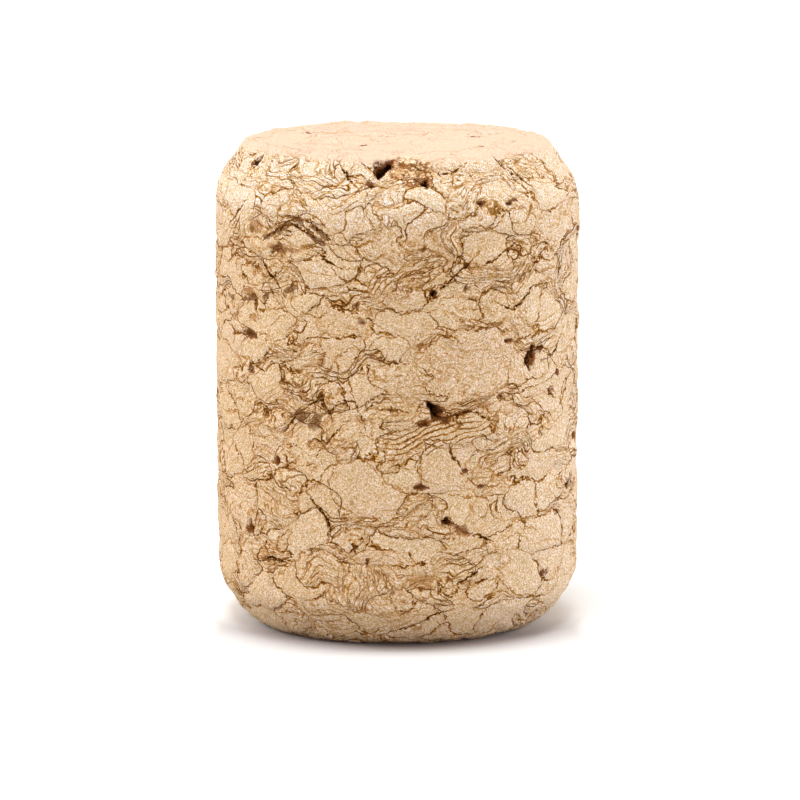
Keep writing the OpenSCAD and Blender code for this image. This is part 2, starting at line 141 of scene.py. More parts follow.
# Borders between granules: width, darkness, then the route's (azimuth, height) points.
BORDERS = [
    # upper left
    (0.14, 0.8, [(-41.5, 28.1), (-39, 28.2), (-36, 28.2), (-32, 28.15), (-29, 28)]),
    (0.10, 0.85, [(-46.2, 26.7), (-43.1, 27.3), (-39.3, 27.7), (-36.5, 27.85), (-31.7, 28), (-29.5, 27.5),
        (-28.1, 27.1), (-25.7, 26.7), (-24, 26.5)]),
    (0.10, 0.85, [(-31.6, 28.2), (-27.7, 28), (-24.3, 27.4), (-20.7, 26.7)]),
    (0.10, 0.7, [(-37, 29.6), (-36, 29.3), (-34.5, 29.35), (-32, 29.1), (-30, 28.8), (-28, 28.4),
        (-25.5, 28.25), (-24, 28), (-22.5, 27.7), (-20.5, 27.3)]),
    (0.08, 0.5, [(-47, 29.7), (-44, 29.85), (-42, 29.75), (-40, 29.4), (-39.3, 29)]),
    (0.08, 0.5, [(-39, 28.9), (-36.5, 29), (-33.5, 28.85), (-31.5, 28.5)]),
    (0.10, 0.6, [(-52.5, 27.9), (-50, 28.15), (-47, 28.1), (-45.3, 27.9), (-45, 27.4)]),
    (0.12, 0.6, [(-60, 26.1), (-57.5, 26.45), (-54, 26.5), (-51, 26.6), (-48, 26.5), (-46.3, 26.2)]),
    (0.08, 0.5, [(-60, 25.6), (-57, 25.8), (-53, 25.75), (-50, 25.95), (-47.5, 25.75), (-46, 25.4)]),
    (0.12, 0.7, [(-49, 24.8), (-46.5, 24.3), (-44.5, 23.9), (-44, 23.5), (-42, 23), (-40.5, 22.6),
        (-38.5, 22.3)]),
    (0.08, 0.5, [(-53, 24.6), (-50, 24.3), (-47, 24.15), (-45, 23.85)]),
    (0.10, 0.6, [(-61.5, 24.2), (-61.5, 24.7), (-60, 24.9), (-55, 25.05)]),
    (0.10, 0.5, [(-61, 23.9), (-59, 23.8), (-55, 23.75), (-51, 23.85), (-50.2, 24.2), (-50.5, 24.6)]),
    (0.16, 0.6, [(-70, 25.5), (-66, 25.6), (-62.5, 25.5)]),
    (0.14, 0.6, [(-70, 24.5), (-67, 24.6), (-65, 24.85), (-61.5, 25)]),
    (0.16, 0.8, [(-52, 22.6), (-50.5, 22.9), (-50.2, 22.6), (-50, 22.2), (-49.8, 21.6), (-49.3, 21.2)]),
    (0.10, 0.7, [(-45.7, 22.3), (-44, 22), (-41.5, 22.05), (-39, 22.15), (-37.5, 22.3)]),
    (0.08, 0.6, [(-45.7, 22.3), (-46.8, 22.6), (-46, 22.9), (-44.5, 23.1)]),
    (0.12, 0.8, [(-49, 21.8), (-47, 21.85), (-45.3, 21.9)]),
    (0.08, 0.6, [(-44, 20.85), (-42, 21.1), (-40, 21.5), (-38.5, 21.6)]),
    (0.10, 0.7, [(-34.5, 23.1), (-34.7, 22.8), (-34.2, 22.4), (-33, 22.2), (-30, 22), (-27.5, 21.9),
        (-25, 21.8), (-23.5, 21.95), (-22.3, 22.2), (-21.5, 22.6)]),
    (0.10, 0.8, [(-35.5, 23.6), (-34, 23.9), (-32.5, 24.05), (-31, 24)]),
    (0.08, 0.6, [(-39, 25.4), (-37, 25.5), (-35.5, 25.3), (-33.5, 25), (-32, 24.6)]),
    (0.08, 0.5, [(-31.5, 25.2), (-29.5, 24.95), (-28.5, 24.8), (-26, 24.65), (-23, 24.6), (-20, 24.55)]),
    (0.08, 0.5, [(-30.3, 26.3), (-28.5, 26.3), (-27, 26.6)]),
    (0.10, 0.6, [(-26, 23.6), (-24, 23.65), (-22.5, 23.7), (-20, 23.5)]),
    # upper middle
    (0.28, 0.95, [(-27.9, 16.1), (-25.8, 16.4), (-24.1, 16.8), (-23.5, 16.2), (-21.5, 15.7), (-19.8, 16)]),
    (0.08, 0.5, [(-24.5, 28.5), (-22, 28.9), (-19.5, 29.1), (-17, 29.4), (-14.5, 29.75), (-12, 29.85)]),
    (0.08, 0.8, [(-9.5, 30.5), (-7, 30.4), (-4, 30.3), (-2, 30.35)]),
    (0.10, 0.9, [(-2, 31.95), (0, 31.9), (3, 31.95)]),
    (0.08, 0.6, [(11, 31.9), (12.5, 31.5), (14, 31.05)]),
    (0.09, 0.7, [(10, 30.5), (12, 30.3), (14, 30), (15, 29.6), (17, 29.4), (19.5, 29.3)]),
    (0.08, 0.6, [(-10.5, 29.6), (-9.8, 29.3), (-9.5, 28.8), (-9, 28.3), (-8, 28.1), (-7.2, 27.8),
        (-7.3, 27.3), (-6.6, 27)]),
    (0.08, 0.6, [(-6, 29), (-4, 29.1), (-2, 29.2), (0, 29.4), (2, 29.5)]),
    (0.08, 0.5, [(-6.3, 29), (-6, 28.7), (-5.5, 28), (-5.3, 27.3)]),
    (0.10, 0.7, [(-20.5, 27.2), (-19, 27.4), (-17.5, 27.35), (-16, 27), (-14.5, 26.7), (-12.5, 26.5),
        (-11, 26.6), (-9, 26.85), (-7, 26.9), (-5.8, 27)]),
    (0.08, 0.6, [(-17, 25.1), (-14, 25.1), (-12, 25.2), (-10.5, 25.3), (-8, 25.6), (-5.5, 25.9), (-4, 26),
        (-1.5, 25.5), (0, 25.5)]),
    (0.09, 0.8, [(-20, 25), (-18.5, 24.6), (-16.5, 24.35), (-15, 24.1), (-15.2, 23.6), (-15, 23.2)]),
    (0.10, 0.7, [(-15, 24.1), (-14, 24.4), (-12.5, 24.8), (-11.5, 25.1)]),
    (0.10, 0.7, [(-2, 23.9), (0, 24), (4, 23.95), (7, 24), (10, 24.3), (12, 24.6), (13.5, 24.85),
        (16, 25.05), (18.5, 25.3), (19.8, 25.7), (20.4, 26.2), (21.2, 26.8), (20.5, 27.2)]),
    (0.08, 0.6, [(3, 25.3), (5.5, 25.4), (7, 25.7), (8.5, 26.1), (9, 26.5), (8, 26.65), (6, 26.6), (4, 26.6),
        (2.8, 26.8), (2.8, 27.3), (2.6, 28), (1.8, 28.4)]),
    (0.08, 0.6, [(14, 28.4), (13.5, 28), (13.7, 27.5), (14, 27), (13, 26.5)]),
    (0.08, 0.6, [(1.8, 28.5), (4, 28.7), (6, 28.8), (8, 28.7), (10, 28.7), (12.5, 28.75)]),
    (0.09, 0.8, [(14.5, 28.6), (15.5, 28.3), (18, 28.25), (20, 28.25), (22, 28.25), (24.5, 28.7), (27, 29)]),
    (0.07, 0.6, [(12, 23.3), (15, 23.25), (18, 23.25), (20, 23.3)]),
    (0.10, 0.8, [(-6.8, 22), (-6, 22.3), (-4.5, 22.4), (-2.5, 22.55), (-1, 22.4), (1, 22.2), (3, 22.25),
        (5, 22.4), (7, 22.4), (9.3, 22.4)]),
    (0.09, 0.7, [(-21.5, 22.6), (-19.5, 22.5), (-17, 22.6), (-14, 22.8), (-12.3, 22.7)]),
    (0.10, 0.9, [(-10, 21.9), (-8, 21.85), (-7, 21.7)]),
    # upper right
    (0.08, 0.6, [(25, 31.2), (28, 31.1), (29.5, 30.9)]),
    (0.08, 0.5, [(21, 30.9), (23, 30.3), (25, 30.05), (27, 30.2), (29, 30.4), (31, 30.4)]),
    (0.08, 0.8, [(17, 29.1), (18.5, 29.3), (20, 29.2), (20.5, 28.9), (19.5, 28.75), (17.5, 28.8),
        (16.8, 29)]),
    (0.10, 0.8, [(20, 27.4), (22, 27.6), (23, 27.65), (25, 27.65), (27, 27.7), (28.5, 27.45), (30, 27.55),
        (32, 27.75), (34, 28), (35, 28.3), (37, 28.6), (39, 28.7), (41, 28.6)]),
    (0.07, 0.6, [(40, 28.7), (42, 28.6), (44, 28.55), (46, 28.2), (48, 27.9), (49.5, 27.5)]),
    (0.08, 0.6, [(44, 29.5), (47, 29.65), (50, 29.7)]),
    (0.10, 0.7, [(39.5, 26.5), (42, 26.4), (44.5, 26.3), (46, 26.7), (47.5, 26.9), (50, 26.7), (53, 26.4),
        (57, 26.2)]),
    (0.08, 0.6, [(24, 25.4), (25, 25.2), (26.5, 25.05), (28, 25)]),
    (0.15, 0.8, [(48.5, 25.1), (50, 25.45), (52, 25.6), (53, 25.7), (55, 25.6), (57, 25.7)]),
    (0.09, 0.6, [(34.5, 23.2), (36, 23.25), (38, 23.15), (40, 23.2), (42, 23.6), (43.5, 23.6), (44.5, 23.4)]),
    (0.10, 0.8, [(50, 23.4), (51.5, 23.1), (53.5, 23.1), (54.2, 23.35), (52.5, 23.6), (50.5, 23.65)]),
    (0.10, 0.6, [(50, 24.4), (53, 24.3), (56, 24.45), (58.5, 24.4)]),
    (0.10, 0.9, [(22, 23.1), (24, 23.05), (26, 22.85)]),
    (0.08, 0.7, [(23.5, 22.4), (26, 22.4), (28, 22.3)]),
    (0.08, 0.7, [(40.5, 21.7), (42, 21.6), (43.5, 21.35)]),
    (0.10, 0.6, [(54, 23.75), (56, 23.75), (57.5, 23.4), (59, 23), (61, 22.6), (64, 22.2)]),
    # middle left
    (0.10, 0.7, [(-58.5, 20.2), (-56, 20.45), (-53, 20.4), (-50, 20.3), (-48, 20.3), (-45, 20.25),
        (-44.8, 20)]),
    (0.08, 0.6, [(-53.5, 21), (-52, 21.1), (-50, 21.1), (-49.5, 21.3), (-51, 21.45), (-53, 21.4),
        (-53.5, 21.2)]),
    (0.16, 0.6, [(-66, 20.45), (-64.5, 20.3), (-62.5, 20.1), (-60, 20.15)]),
    (0.16, 0.4, [(-62, 18.8), (-60, 18.4), (-58, 18.15), (-55, 18), (-52.5, 17.95)]),
    (0.08, 0.7, [(-51.5, 18), (-50, 18.2), (-48, 18.6), (-46, 18.9), (-44.3, 19.2), (-43.7, 19.45),
        (-42, 19.3), (-40, 19.05)]),
    (0.12, 0.9, [(-38.5, 20.15), (-37, 20.3), (-35.5, 20.5)]),
    (0.10, 0.7, [(-36, 19.9), (-33, 20), (-31, 20)]),
    (0.10, 0.9, [(-34.6, 19.6), (-33, 19.5), (-31, 19.6), (-30.7, 19.9)]),
    (0.10, 0.4, [(-54.5, 17.5), (-54, 16.9), (-53.5, 16.3), (-52.5, 15.9), (-51, 15.6)]),
    (0.10, 0.6, [(-54, 15.4), (-52, 15.1), (-50, 15), (-48, 15.15), (-46, 15.45), (-44, 15.75), (-41, 15.9),
        (-38, 15.8)]),
    (0.20, 0.5, [(-68, 14.6), (-65, 14.7), (-60, 14.7)]),
    (0.08, 0.6, [(-56, 14.2), (-53, 14.1), (-50, 14.1), (-47.5, 14.4), (-45.5, 14.6), (-45.5, 14.9),
        (-43.5, 15.05), (-41.5, 15.3), (-39.5, 15.5), (-37, 15.4), (-35.5, 15.1)]),
    (0.10, 0.8, [(-33.5, 15.5), (-31.5, 15.8), (-29.5, 15.95)]),
    (0.10, 0.7, [(-40, 13), (-41.5, 12.6), (-41, 12.2), (-40.2, 12), (-42, 11.95), (-43.5, 12.1)]),
    (0.09, 0.8, [(-38, 13.4), (-37.3, 13.2), (-34, 13.3), (-32, 13.2)]),
    (0.08, 0.5, [(-55, 13.6), (-52, 13.5), (-49, 13.45), (-46, 13.6), (-43, 13.75), (-41, 13.6),
        (-39, 13.4)]),
    (0.10, 0.5, [(-31, 13), (-31.5, 12.7), (-33.5, 12.3), (-35, 12.1), (-37, 11.9)]),
    (0.09, 0.7, [(-31, 12), (-29, 12.15), (-27, 12.2), (-26, 12.1), (-26.3, 11.9)]),
    (0.10, 0.7, [(-32.5, 17.8), (-34, 17.6), (-34.8, 17.1), (-34.7, 16.5), (-33.5, 15.8)]),
    (0.08, 0.6, [(-38.5, 17.4), (-37, 17.45), (-36.5, 17), (-36.3, 16.6), (-35.5, 16.3)]),
    (0.12, 0.9, [(-25.5, 16.2), (-24.6, 16.6), (-24, 16.9)]),
    # middle
    (0.09, 0.6, [(-20, 20.8), (-21.5, 20.8), (-23, 20.8), (-24.3, 20.6), (-24.7, 20), (-23.5, 19.6),
        (-22, 19.3), (-20.3, 19.05)]),
    (0.12, 0.7, [(-26.5, 18.35), (-25, 18.55), (-24, 18.65)]),
    (0.09, 0.7, [(-20.3, 19.05), (-21, 18.5), (-22, 18.2), (-22.5, 17.9)]),
    (0.14, 0.7, [(-20.3, 19.05), (-19.2, 19), (-18.8, 18.7), (-18.7, 18.3)]),
    (0.08, 0.6, [(-19.6, 19.1), (-19, 19.3), (-17.5, 19.5), (-15.5, 19.8), (-13.5, 19.95)]),
    (0.12, 0.8, [(-13, 20), (-11.5, 19.8), (-9.8, 19.65), (-8, 19.5), (-6, 19.4), (-4, 19.35), (-2, 19.2),
        (0, 19.05), (2, 19), (4, 19)]),
    (0.10, 0.6, [(-9.8, 19.7), (-9, 19.9), (-8, 20.2), (-7, 20.5), (-5, 20.7), (-2.5, 20.7), (0, 20.8),
        (2, 20.6), (3.5, 20.3), (3.8, 20), (4.3, 19.7), (4, 19.2)]),
    (0.09, 0.7, [(3.5, 20), (5, 19.9), (7, 20.1), (8.5, 20.15), (10, 20.3), (12, 20.7), (14, 21.2)]),
    (0.09, 0.7, [(4.3, 19.7), (5.5, 19.65), (8, 19.75), (10, 20.1), (12, 20.4), (14.5, 20.8), (16.5, 20.9),
        (18.5, 21.1)]),
    (0.08, 0.5, [(4, 19), (4.5, 18.5), (4.7, 18.1), (6, 17.9), (8, 17.7), (10, 17.5), (10.8, 17.4)]),
    (0.08, 0.6, [(5, 18.8), (7, 18.5), (9, 18.2), (11.5, 18.05)]),
    (0.08, 0.5, [(10, 19.4), (10.5, 18.9), (12.5, 18.5), (15, 18.4), (16.5, 18.3), (15.5, 17.9),
        (14.5, 17.9)]),
    (0.09, 0.6, [(10.8, 17.3), (11.2, 16.9), (11.8, 16.6), (12.6, 16.4)]),
    (0.08, 0.5, [(13, 16), (15, 15.98), (17, 16), (20, 15.95)]),
    (0.12, 0.8, [(-15.2, 18), (-15, 17.6), (-14.5, 17.3), (-14.2, 17), (-13.5, 16.7)]),
    (0.12, 0.8, [(-15, 18), (-13.5, 18.25), (-12, 18.3), (-11, 18.25)]),
    (0.12, 0.8, [(-8, 16), (-6.5, 16.1), (-5.5, 16), (-3, 16), (0, 15.95), (3, 15.85), (5, 15.7)]),
    (0.08, 0.5, [(-9, 18.2), (-7, 18.1), (-5, 18), (-2, 17.8)]),
    (0.10, 0.8, [(-12.5, 14.4), (-11.5, 14.5), (-10.5, 14.35), (-9.3, 14.25)]),
    (0.08, 0.6, [(-9, 15.4), (-8, 15.3), (-7.7, 14.8), (-8.2, 14.4), (-7, 14), (-5.5, 13.8)]),
    (0.10, 0.7, [(-19, 13.4), (-16, 13.4), (-13.5, 13.4), (-12.5, 13.1)]),
    (0.10, 0.6, [(-17, 15.1), (-15, 15.15), (-12.5, 15.2)]),
    (0.09, 0.6, [(-25.5, 14), (-24.5, 14.5), (-23, 15), (-22, 15.2)]),
    # middle right
    (0.09, 0.7, [(20.5, 21.2), (22.5, 21), (24, 21.1), (26, 21.35), (28, 21.5)]),
    (0.10, 0.8, [(30, 21.4), (32, 21.1), (34, 20.85), (35.5, 20.7), (36, 20.85), (38, 20.75)]),
    (0.09, 0.7, [(39.8, 20.3), (39.5, 19.9), (39.2, 19.6), (40, 19.4), (41, 19.2), (43, 18.9)]),
    (0.10, 0.6, [(41.5, 19.25), (44, 19.4), (47, 19.4), (49.5, 19.3)]),
    (0.12, 0.8, [(39.5, 19.95), (41, 20), (43, 20.05)]),
    (0.08, 0.6, [(20, 16.4), (22, 16.5), (24, 16.75), (26, 16.7), (28, 16.4)]),
    (0.09, 0.7, [(20, 15.9), (23, 15.7), (26, 15.5), (28, 15.45)]),
    (0.08, 0.6, [(32, 16.9), (35, 17.1), (38, 17.2), (40, 17.1), (43, 17.05)]),
    (0.08, 0.8, [(32, 16.6), (33.5, 16.3), (35, 16.35)]),
    (0.10, 0.8, [(34, 15.8), (33, 15.4), (31.5, 15.25), (30, 15.2)]),
    (0.08, 0.5, [(41, 17), (41.5, 16.6), (42, 16.2), (43, 16), (47, 16)]),
    (0.08, 0.5, [(42, 15.2), (45, 15.05), (48, 15), (50, 14.6), (51.5, 14.1)]),
    # lower left
    (0.09, 0.6, [(-38, 11), (-35, 10.6), (-32, 10.35), (-30, 10.25), (-28, 10.5), (-26, 10.8), (-24.5, 11)]),
    (0.14, 0.5, [(-65, 5.8), (-62, 6), (-59.5, 6.3), (-57.5, 6.7), (-55.5, 7)]),
    (0.09, 0.6, [(-43.5, 4.2), (-41.5, 4.5), (-39.5, 4.7), (-38, 4.8), (-37, 5.2)]),
    (0.08, 0.5, [(-34, 5.2), (-31, 5.15), (-29, 5.5), (-27, 5.9)]),
    (0.09, 0.6, [(-35, 6), (-32, 6.2), (-30, 6.4), (-27.5, 6.6), (-24, 6.6), (-22.5, 6.2)]),
    (0.08, 0.5, [(-26, 3.6), (-23, 3.45), (-20, 3.3), (-19, 3)]),
    (0.10, 0.6, [(-30, 1.4), (-28, 1.6), (-26, 1.55), (-22, 1.7), (-20, 1.85), (-18.5, 2.2), (-17, 2.5)]),
    # lower middle
    (0.09, 0.6, [(-18.5, 12.7), (-19, 12.3), (-20, 11.9), (-21, 11.4), (-21.5, 11), (-20.5, 10.2),
        (-19.5, 9.8), (-18, 9.5), (-16, 9.3), (-14.5, 9.25), (-12, 8.85), (-10, 8.9), (-7, 8.9), (-5, 8.7),
        (-3.3, 8.35)]),
    (0.08, 0.5, [(-18, 13), (-14, 13), (-12, 12.9), (-10, 12.8), (-9, 12.5), (-8, 12.2), (-6.5, 11.9),
        (-5, 11.6)]),
    (0.08, 0.6, [(-4, 12.9), (-4.8, 12.5), (-5, 12), (-4.5, 11.3), (-3, 11.1), (-0.5, 11), (1, 10.85),
        (5, 10.85)]),
    (0.10, 0.7, [(1, 12.7), (3, 12.8), (5, 13), (6.5, 13.05), (7.3, 12.8), (7.3, 12.4), (7, 12), (7.3, 11.6),
        (8.5, 11.3), (10, 11.2)]),
    (0.14, 0.9, [(-0.8, 12.3), (0.2, 12.35), (1.2, 12.3)]),
    (0.12, 0.9, [(16.8, 13.8), (16.5, 13.4), (17, 13), (18.5, 12.6), (20, 12.2), (20.6, 11.9)]),
    (0.10, 0.6, [(-14.5, 9.2), (-16.5, 9.05), (-18, 8.8), (-19, 8.6)]),
    (0.09, 0.7, [(-18, 8.3), (-18, 8), (-17, 7.75), (-16, 7.8), (-15.8, 8.1), (-14.5, 8.1), (-12.5, 8.15),
        (-11, 8.1), (-10.2, 8), (-10.3, 7.8), (-9.5, 7.5)]),
    (0.10, 0.7, [(-14.5, 6.5), (-12.5, 6.9), (-11, 7.2), (-9.5, 7.5), (-8, 7.8), (-6, 8.1), (-4.5, 8.35),
        (-3, 8.4), (-1, 8.5), (1, 8.7), (3, 8.95), (5, 9.2), (7, 9.6), (9, 10)]),
    (0.09, 0.6, [(-3, 8.3), (0, 8.2), (2.5, 8.1), (5, 8), (7, 7.8), (9.5, 7.6), (12, 7.4), (14, 7.2),
        (17, 6.9)]),
    (0.09, 0.7, [(10, 10.1), (11, 9.9), (11.3, 9.6), (12.3, 9.2), (13.3, 8.9)]),
    (0.09, 0.6, [(17, 8.7), (18, 8.4), (19, 8.2)]),
    (0.08, 0.6, [(17, 8.3), (16.5, 7.9), (15, 7.6), (13.5, 7.3)]),
    (0.11, 0.6, [(-20, 7.1), (-18.5, 6.7), (-17, 6.4), (-15, 6.25), (-13.5, 5.9), (-11, 5.7), (-9.5, 5.75)]),
    (0.14, 0.5, [(-9.5, 5.75), (-8.5, 5.7), (-7.3, 5.5), (-6, 5.2), (-5, 4.9), (-4, 4.6), (-3, 4.3),
        (-1.5, 4.15), (2, 4.3), (6, 4.3)]),
    (0.14, 0.8, [(6, 4.35), (8, 4.15), (10, 4.1), (12, 4.1)]),
    (0.09, 0.6, [(12, 4.1), (16, 4.1), (18, 4.3), (20, 4.6)]),
    (0.09, 0.6, [(-1.3, 3.2), (-2, 3.5), (-1.8, 3.8), (-1, 4), (0.5, 4)]),
    (0.09, 0.6, [(2, 3.3), (5, 3.3), (7.5, 3.35), (9, 3.5), (10.5, 3.8), (12, 4)]),
    (0.08, 0.5, [(9, 2.6), (11, 2.8), (13, 3), (15, 3.2), (18, 3.5), (20, 3.7)]),
    # lower right
    (0.12, 0.6, [(15, 10.4), (18, 10.3), (20, 10.2), (23, 10.1), (26, 10.05), (28.5, 9.9), (29.5, 9.7),
        (29.5, 9.3), (28.5, 8.8), (27, 8.6), (25.5, 8.35)]),
    (0.09, 0.7, [(20.5, 11.6), (22, 11.4), (23.5, 11.1), (25.5, 10.85), (27, 10.75), (29, 10.7), (31, 10.6),
        (33, 10.7), (35, 11)]),
    (0.12, 0.4, [(35.5, 9.9), (35.5, 9.7), (36.3, 9.3), (36.5, 8.9)]),
    (0.10, 0.6, [(36.5, 8.35), (39, 8.3), (43, 8.25), (47, 8.2), (50, 8.15)]),
    (0.12, 0.5, [(36, 6.95), (38, 7.1), (40, 7.3), (41.5, 7.2), (43, 7)]),
    (0.12, 0.5, [(43.5, 7.5), (46, 7.55), (48, 7.35), (50, 7.1)]),
    (0.10, 0.6, [(31.5, 6.9), (32.3, 6.5), (31.5, 6.3), (30, 6.1), (28.5, 5.9)]),
    (0.08, 0.6, [(30, 5.3), (33, 5.1), (35, 4.75), (35, 4.6)]),
    (0.09, 0.6, [(29.5, 4.5), (33, 4.5), (34.5, 4.3), (36, 3.9), (38, 3.7), (38.5, 3.5), (39.5, 3.25),
        (42, 3.1), (45, 3.1), (47, 2.9), (49, 2.7), (52, 2.4)]),
    (0.08, 0.5, [(22.5, 2.8), (24, 3.05), (27, 3.2), (30, 3.4), (33, 3.6), (36, 3.7)]),
    (0.08, 0.7, [(20, 3.9), (22, 4.1), (24, 4.2)]),
    (0.08, 0.5, [(22.5, 2.8), (24, 2.65), (26, 2.6), (30, 2.7)]),
    (0.14, 0.5, [(55, 16.4), (57, 16.35), (58.5, 16.2)]),
    (0.14, 0.5, [(53, 14), (55.5, 13.7), (58, 13.9)]),
    (0.14, 0.4, [(49, 6.4), (53, 6.4), (58, 6.4), (63, 6.1)]),
]

# Growth lines inside granules: smoother and lighter than the borders.
GROWTH = [
    (0.08, 0.6, [(-24, 29.4), (-20.5, 28.9), (-18, 29.1), (-16, 29.4), (-13.5, 29.7)]),
    (0.08, 0.5, [(-50, 25.4), (-48, 25.2), (-46.5, 24.8), (-45.5, 24.4)]),
    (0.08, 0.5, [(-38, 28.5), (-35, 28.5), (-33, 28.45)]),
    (0.10, 0.6, [(-64.5, 26.8), (-62.5, 27.3), (-61, 27.8)]),
    (0.08, 0.5, [(-29.5, 25.9), (-27, 25.8), (-24.5, 25.8), (-22.5, 25.6)]),
    (0.08, 0.5, [(-15, 26.5), (-13.5, 26.2), (-12, 26), (-10, 25.9)]),
    # swept lines under the middle of the upper part
    (0.09, 0.7, [(-11, 23.15), (-9, 23.3), (-7.5, 23.8), (-6.5, 24.3), (-5, 24.7), (-3, 25), (-1, 25.1)]),
    (0.09, 0.7, [(-10, 23.2), (-7.5, 23.4), (-6, 23.9), (-4.5, 24.3), (-3, 24.6), (-1, 24.75), (1, 25.1)]),
    (0.09, 0.7, [(-8, 23.1), (-5.5, 23.3), (-4, 23.8), (-2.5, 24.2), (0, 24.4), (2, 24.8), (4, 25), (6, 25),
        (8, 25.2), (9.5, 25.7), (12, 26)]),
    (0.08, 0.6, [(-1, 24.2), (2, 24.35), (5, 24.5), (8, 24.6), (10, 24.8), (12, 25.2), (14, 25.5),
        (15, 25.8)]),
    (0.08, 0.5, [(1, 25.2), (3, 25.6), (5, 25.8), (6, 26.1)]),
    (0.08, 0.5, [(10, 24.9), (12, 25), (14, 25.2), (16, 25.5), (18, 26)]),
    # right of the middle, rising to the right
    (0.09, 0.6, [(39, 23.4), (41, 23.8), (42.5, 24.3), (44, 24.8), (46, 25.1)]),
    (0.09, 0.6, [(40.5, 23.6), (43, 24), (44.5, 24.5), (46.5, 24.8)]),
    (0.09, 0.6, [(36.5, 23.5), (38.5, 23.8), (40, 24.3), (42, 24.7), (44, 25.2)]),
    (0.08, 0.5, [(30, 23.2), (33, 23.8), (36, 24.2), (38, 24.7), (40, 25.1)]),
    (0.08, 0.5, [(29, 25.1), (31, 24.75), (34, 24.75), (37, 25.1), (40, 25.4), (43, 25.4)]),
    (0.09, 0.6, [(41, 26.2), (43, 26.05), (45, 25.7), (47, 25.4), (49, 25.3)]),
    # upper chamfer, right
    (0.10, 0.7, [(40, 31.5), (41.5, 31.1), (43.5, 30.5), (45, 30.1)]),
    (0.10, 0.7, [(45, 30.8), (47, 30.5), (48.5, 30.1)]),
    (0.09, 0.6, [(46.5, 31), (48, 30.75), (50, 30.4)]),
    (0.08, 0.5, [(53, 30.4), (56, 30.2), (60, 30.15)]),
    # arc within the smooth granule on the left
    (0.08, 0.5, [(-51, 15.45), (-49, 15.5), (-47, 15.7), (-45, 16), (-43, 16.3), (-41, 16.5)]),
    (0.08, 0.6, [(-50, 18), (-48, 18.4), (-45.5, 18.85)]),
    (0.08, 0.5, [(-38, 13.9), (-36, 14.1), (-34, 14.5), (-32, 14.9)]),
    (0.08, 0.5, [(-48.5, 12.5), (-47, 12.7), (-44, 12.55), (-42.5, 12.4)]),
    # band of even lines right of the middle
    (0.10, 0.8, [(-5, 13.8), (-2, 13.75), (0, 13.75), (2, 13.9), (4, 14.1), (6, 14.3), (8, 14.6), (10, 14.8),
        (13, 15), (16, 15.1), (18.5, 15.25)]),
    (0.10, 0.8, [(-5, 13.45), (-2, 13.45), (0, 13.4), (2, 13.5), (4, 13.75), (6, 14), (8, 14.25),
        (10, 14.45), (13, 14.65), (16, 14.75), (18, 14.9), (22, 15), (25, 15), (28, 14.95)]),
    (0.10, 0.8, [(-4, 13), (-1, 13.05), (2, 13.15), (4, 13.35), (6, 13.6), (8, 13.85), (10, 14.1),
        (13, 14.25), (16, 14.35), (19, 14.55), (22, 14.6), (25, 14.6), (28.5, 14.9)]),
    (0.10, 0.8, [(5, 13), (8, 13.25), (10, 13.55), (12, 13.8), (14, 13.9), (17, 13.95), (20, 14.25),
        (23, 14.35), (25.5, 14.4)]),
    (0.08, 0.5, [(-5, 16.5), (-2, 16.45), (2, 16.5), (5, 16.45)]),
    (0.08, 0.5, [(-5, 15.7), (-2, 15.6), (1, 15.65), (4, 15.6)]),
    # right side, rising to the right
    (0.09, 0.5, [(25, 12), (29, 12.05), (32, 12.3), (35, 12.6), (38, 12.8), (41, 13), (44, 13.3), (48, 13.6),
        (52, 13.8)]),
    (0.08, 0.5, [(26, 11.85), (30, 11.9), (33, 12.1), (35, 12.2)]),
    (0.08, 0.5, [(31, 13.1), (34, 13.3), (37, 13.6), (40, 13.8), (43, 14.1)]),
    (0.08, 0.5, [(23, 11.3), (27, 11.3), (31, 11.3), (33, 11.4), (36, 11.6), (40, 12)]),
    (0.08, 0.5, [(44, 20.5), (46, 20.65), (49, 20.75), (53, 20.7), (57, 20.9)]),
    (0.10, 0.4, [(58, 12.2), (61, 12.15), (65, 12.1)]),
    # lower left
    (0.09, 0.5, [(-48, 6.7), (-46, 6.45), (-44, 6.4), (-40, 6.5)]),
    (0.09, 0.6, [(-49, 6.2), (-46, 6.15), (-42, 6.2), (-38, 6.3)]),
    (0.09, 0.6, [(-50, 5.9), (-47, 5.9), (-42, 5.9), (-38, 5.9)]),
    (0.09, 0.5, [(-48, 5.2), (-45, 5.1), (-42, 5.2)]),
    # fan of steep lines at the foot
    (0.08, 0.5, [(-17, 5), (-17.2, 4.4), (-16.8, 3.8), (-17.2, 3.2)]),
    (0.08, 0.4, [(-14, 5.4), (-14.2, 4.6), (-13.6, 3.9), (-13.4, 3.2)]),
    (0.08, 0.5, [(-9.2, 5.5), (-9.4, 4.8), (-8.6, 4), (-7, 3.4), (-5, 2.9)]),
    (0.08, 0.5, [(-8, 5.3), (-7.4, 4.7), (-6.2, 4.1), (-4.4, 3.6), (-2.8, 3.2)]),
    (0.08, 0.4, [(-11.4, 5.4), (-11.8, 4.6), (-11.4, 3.9), (-10.4, 3.3)]),
    (0.08, 0.5, [(-1, 9.1), (2, 9.15), (5, 9), (8, 9.1)]),
    (0.09, 0.6, [(0, 1.25), (2, 1.4), (4, 1.5), (6.5, 1.6)]),
    (0.08, 0.5, [(0, 2.4), (4, 2.6), (7, 2.8), (7.8, 3.1)]),
    (0.08, 0.5, [(17, 3.2), (19, 3.4), (21, 3.4)]),
    (0.08, 0.5, [(21, 5.2), (19.5, 5.4), (22, 5.6), (24.5, 5.7)]),
]

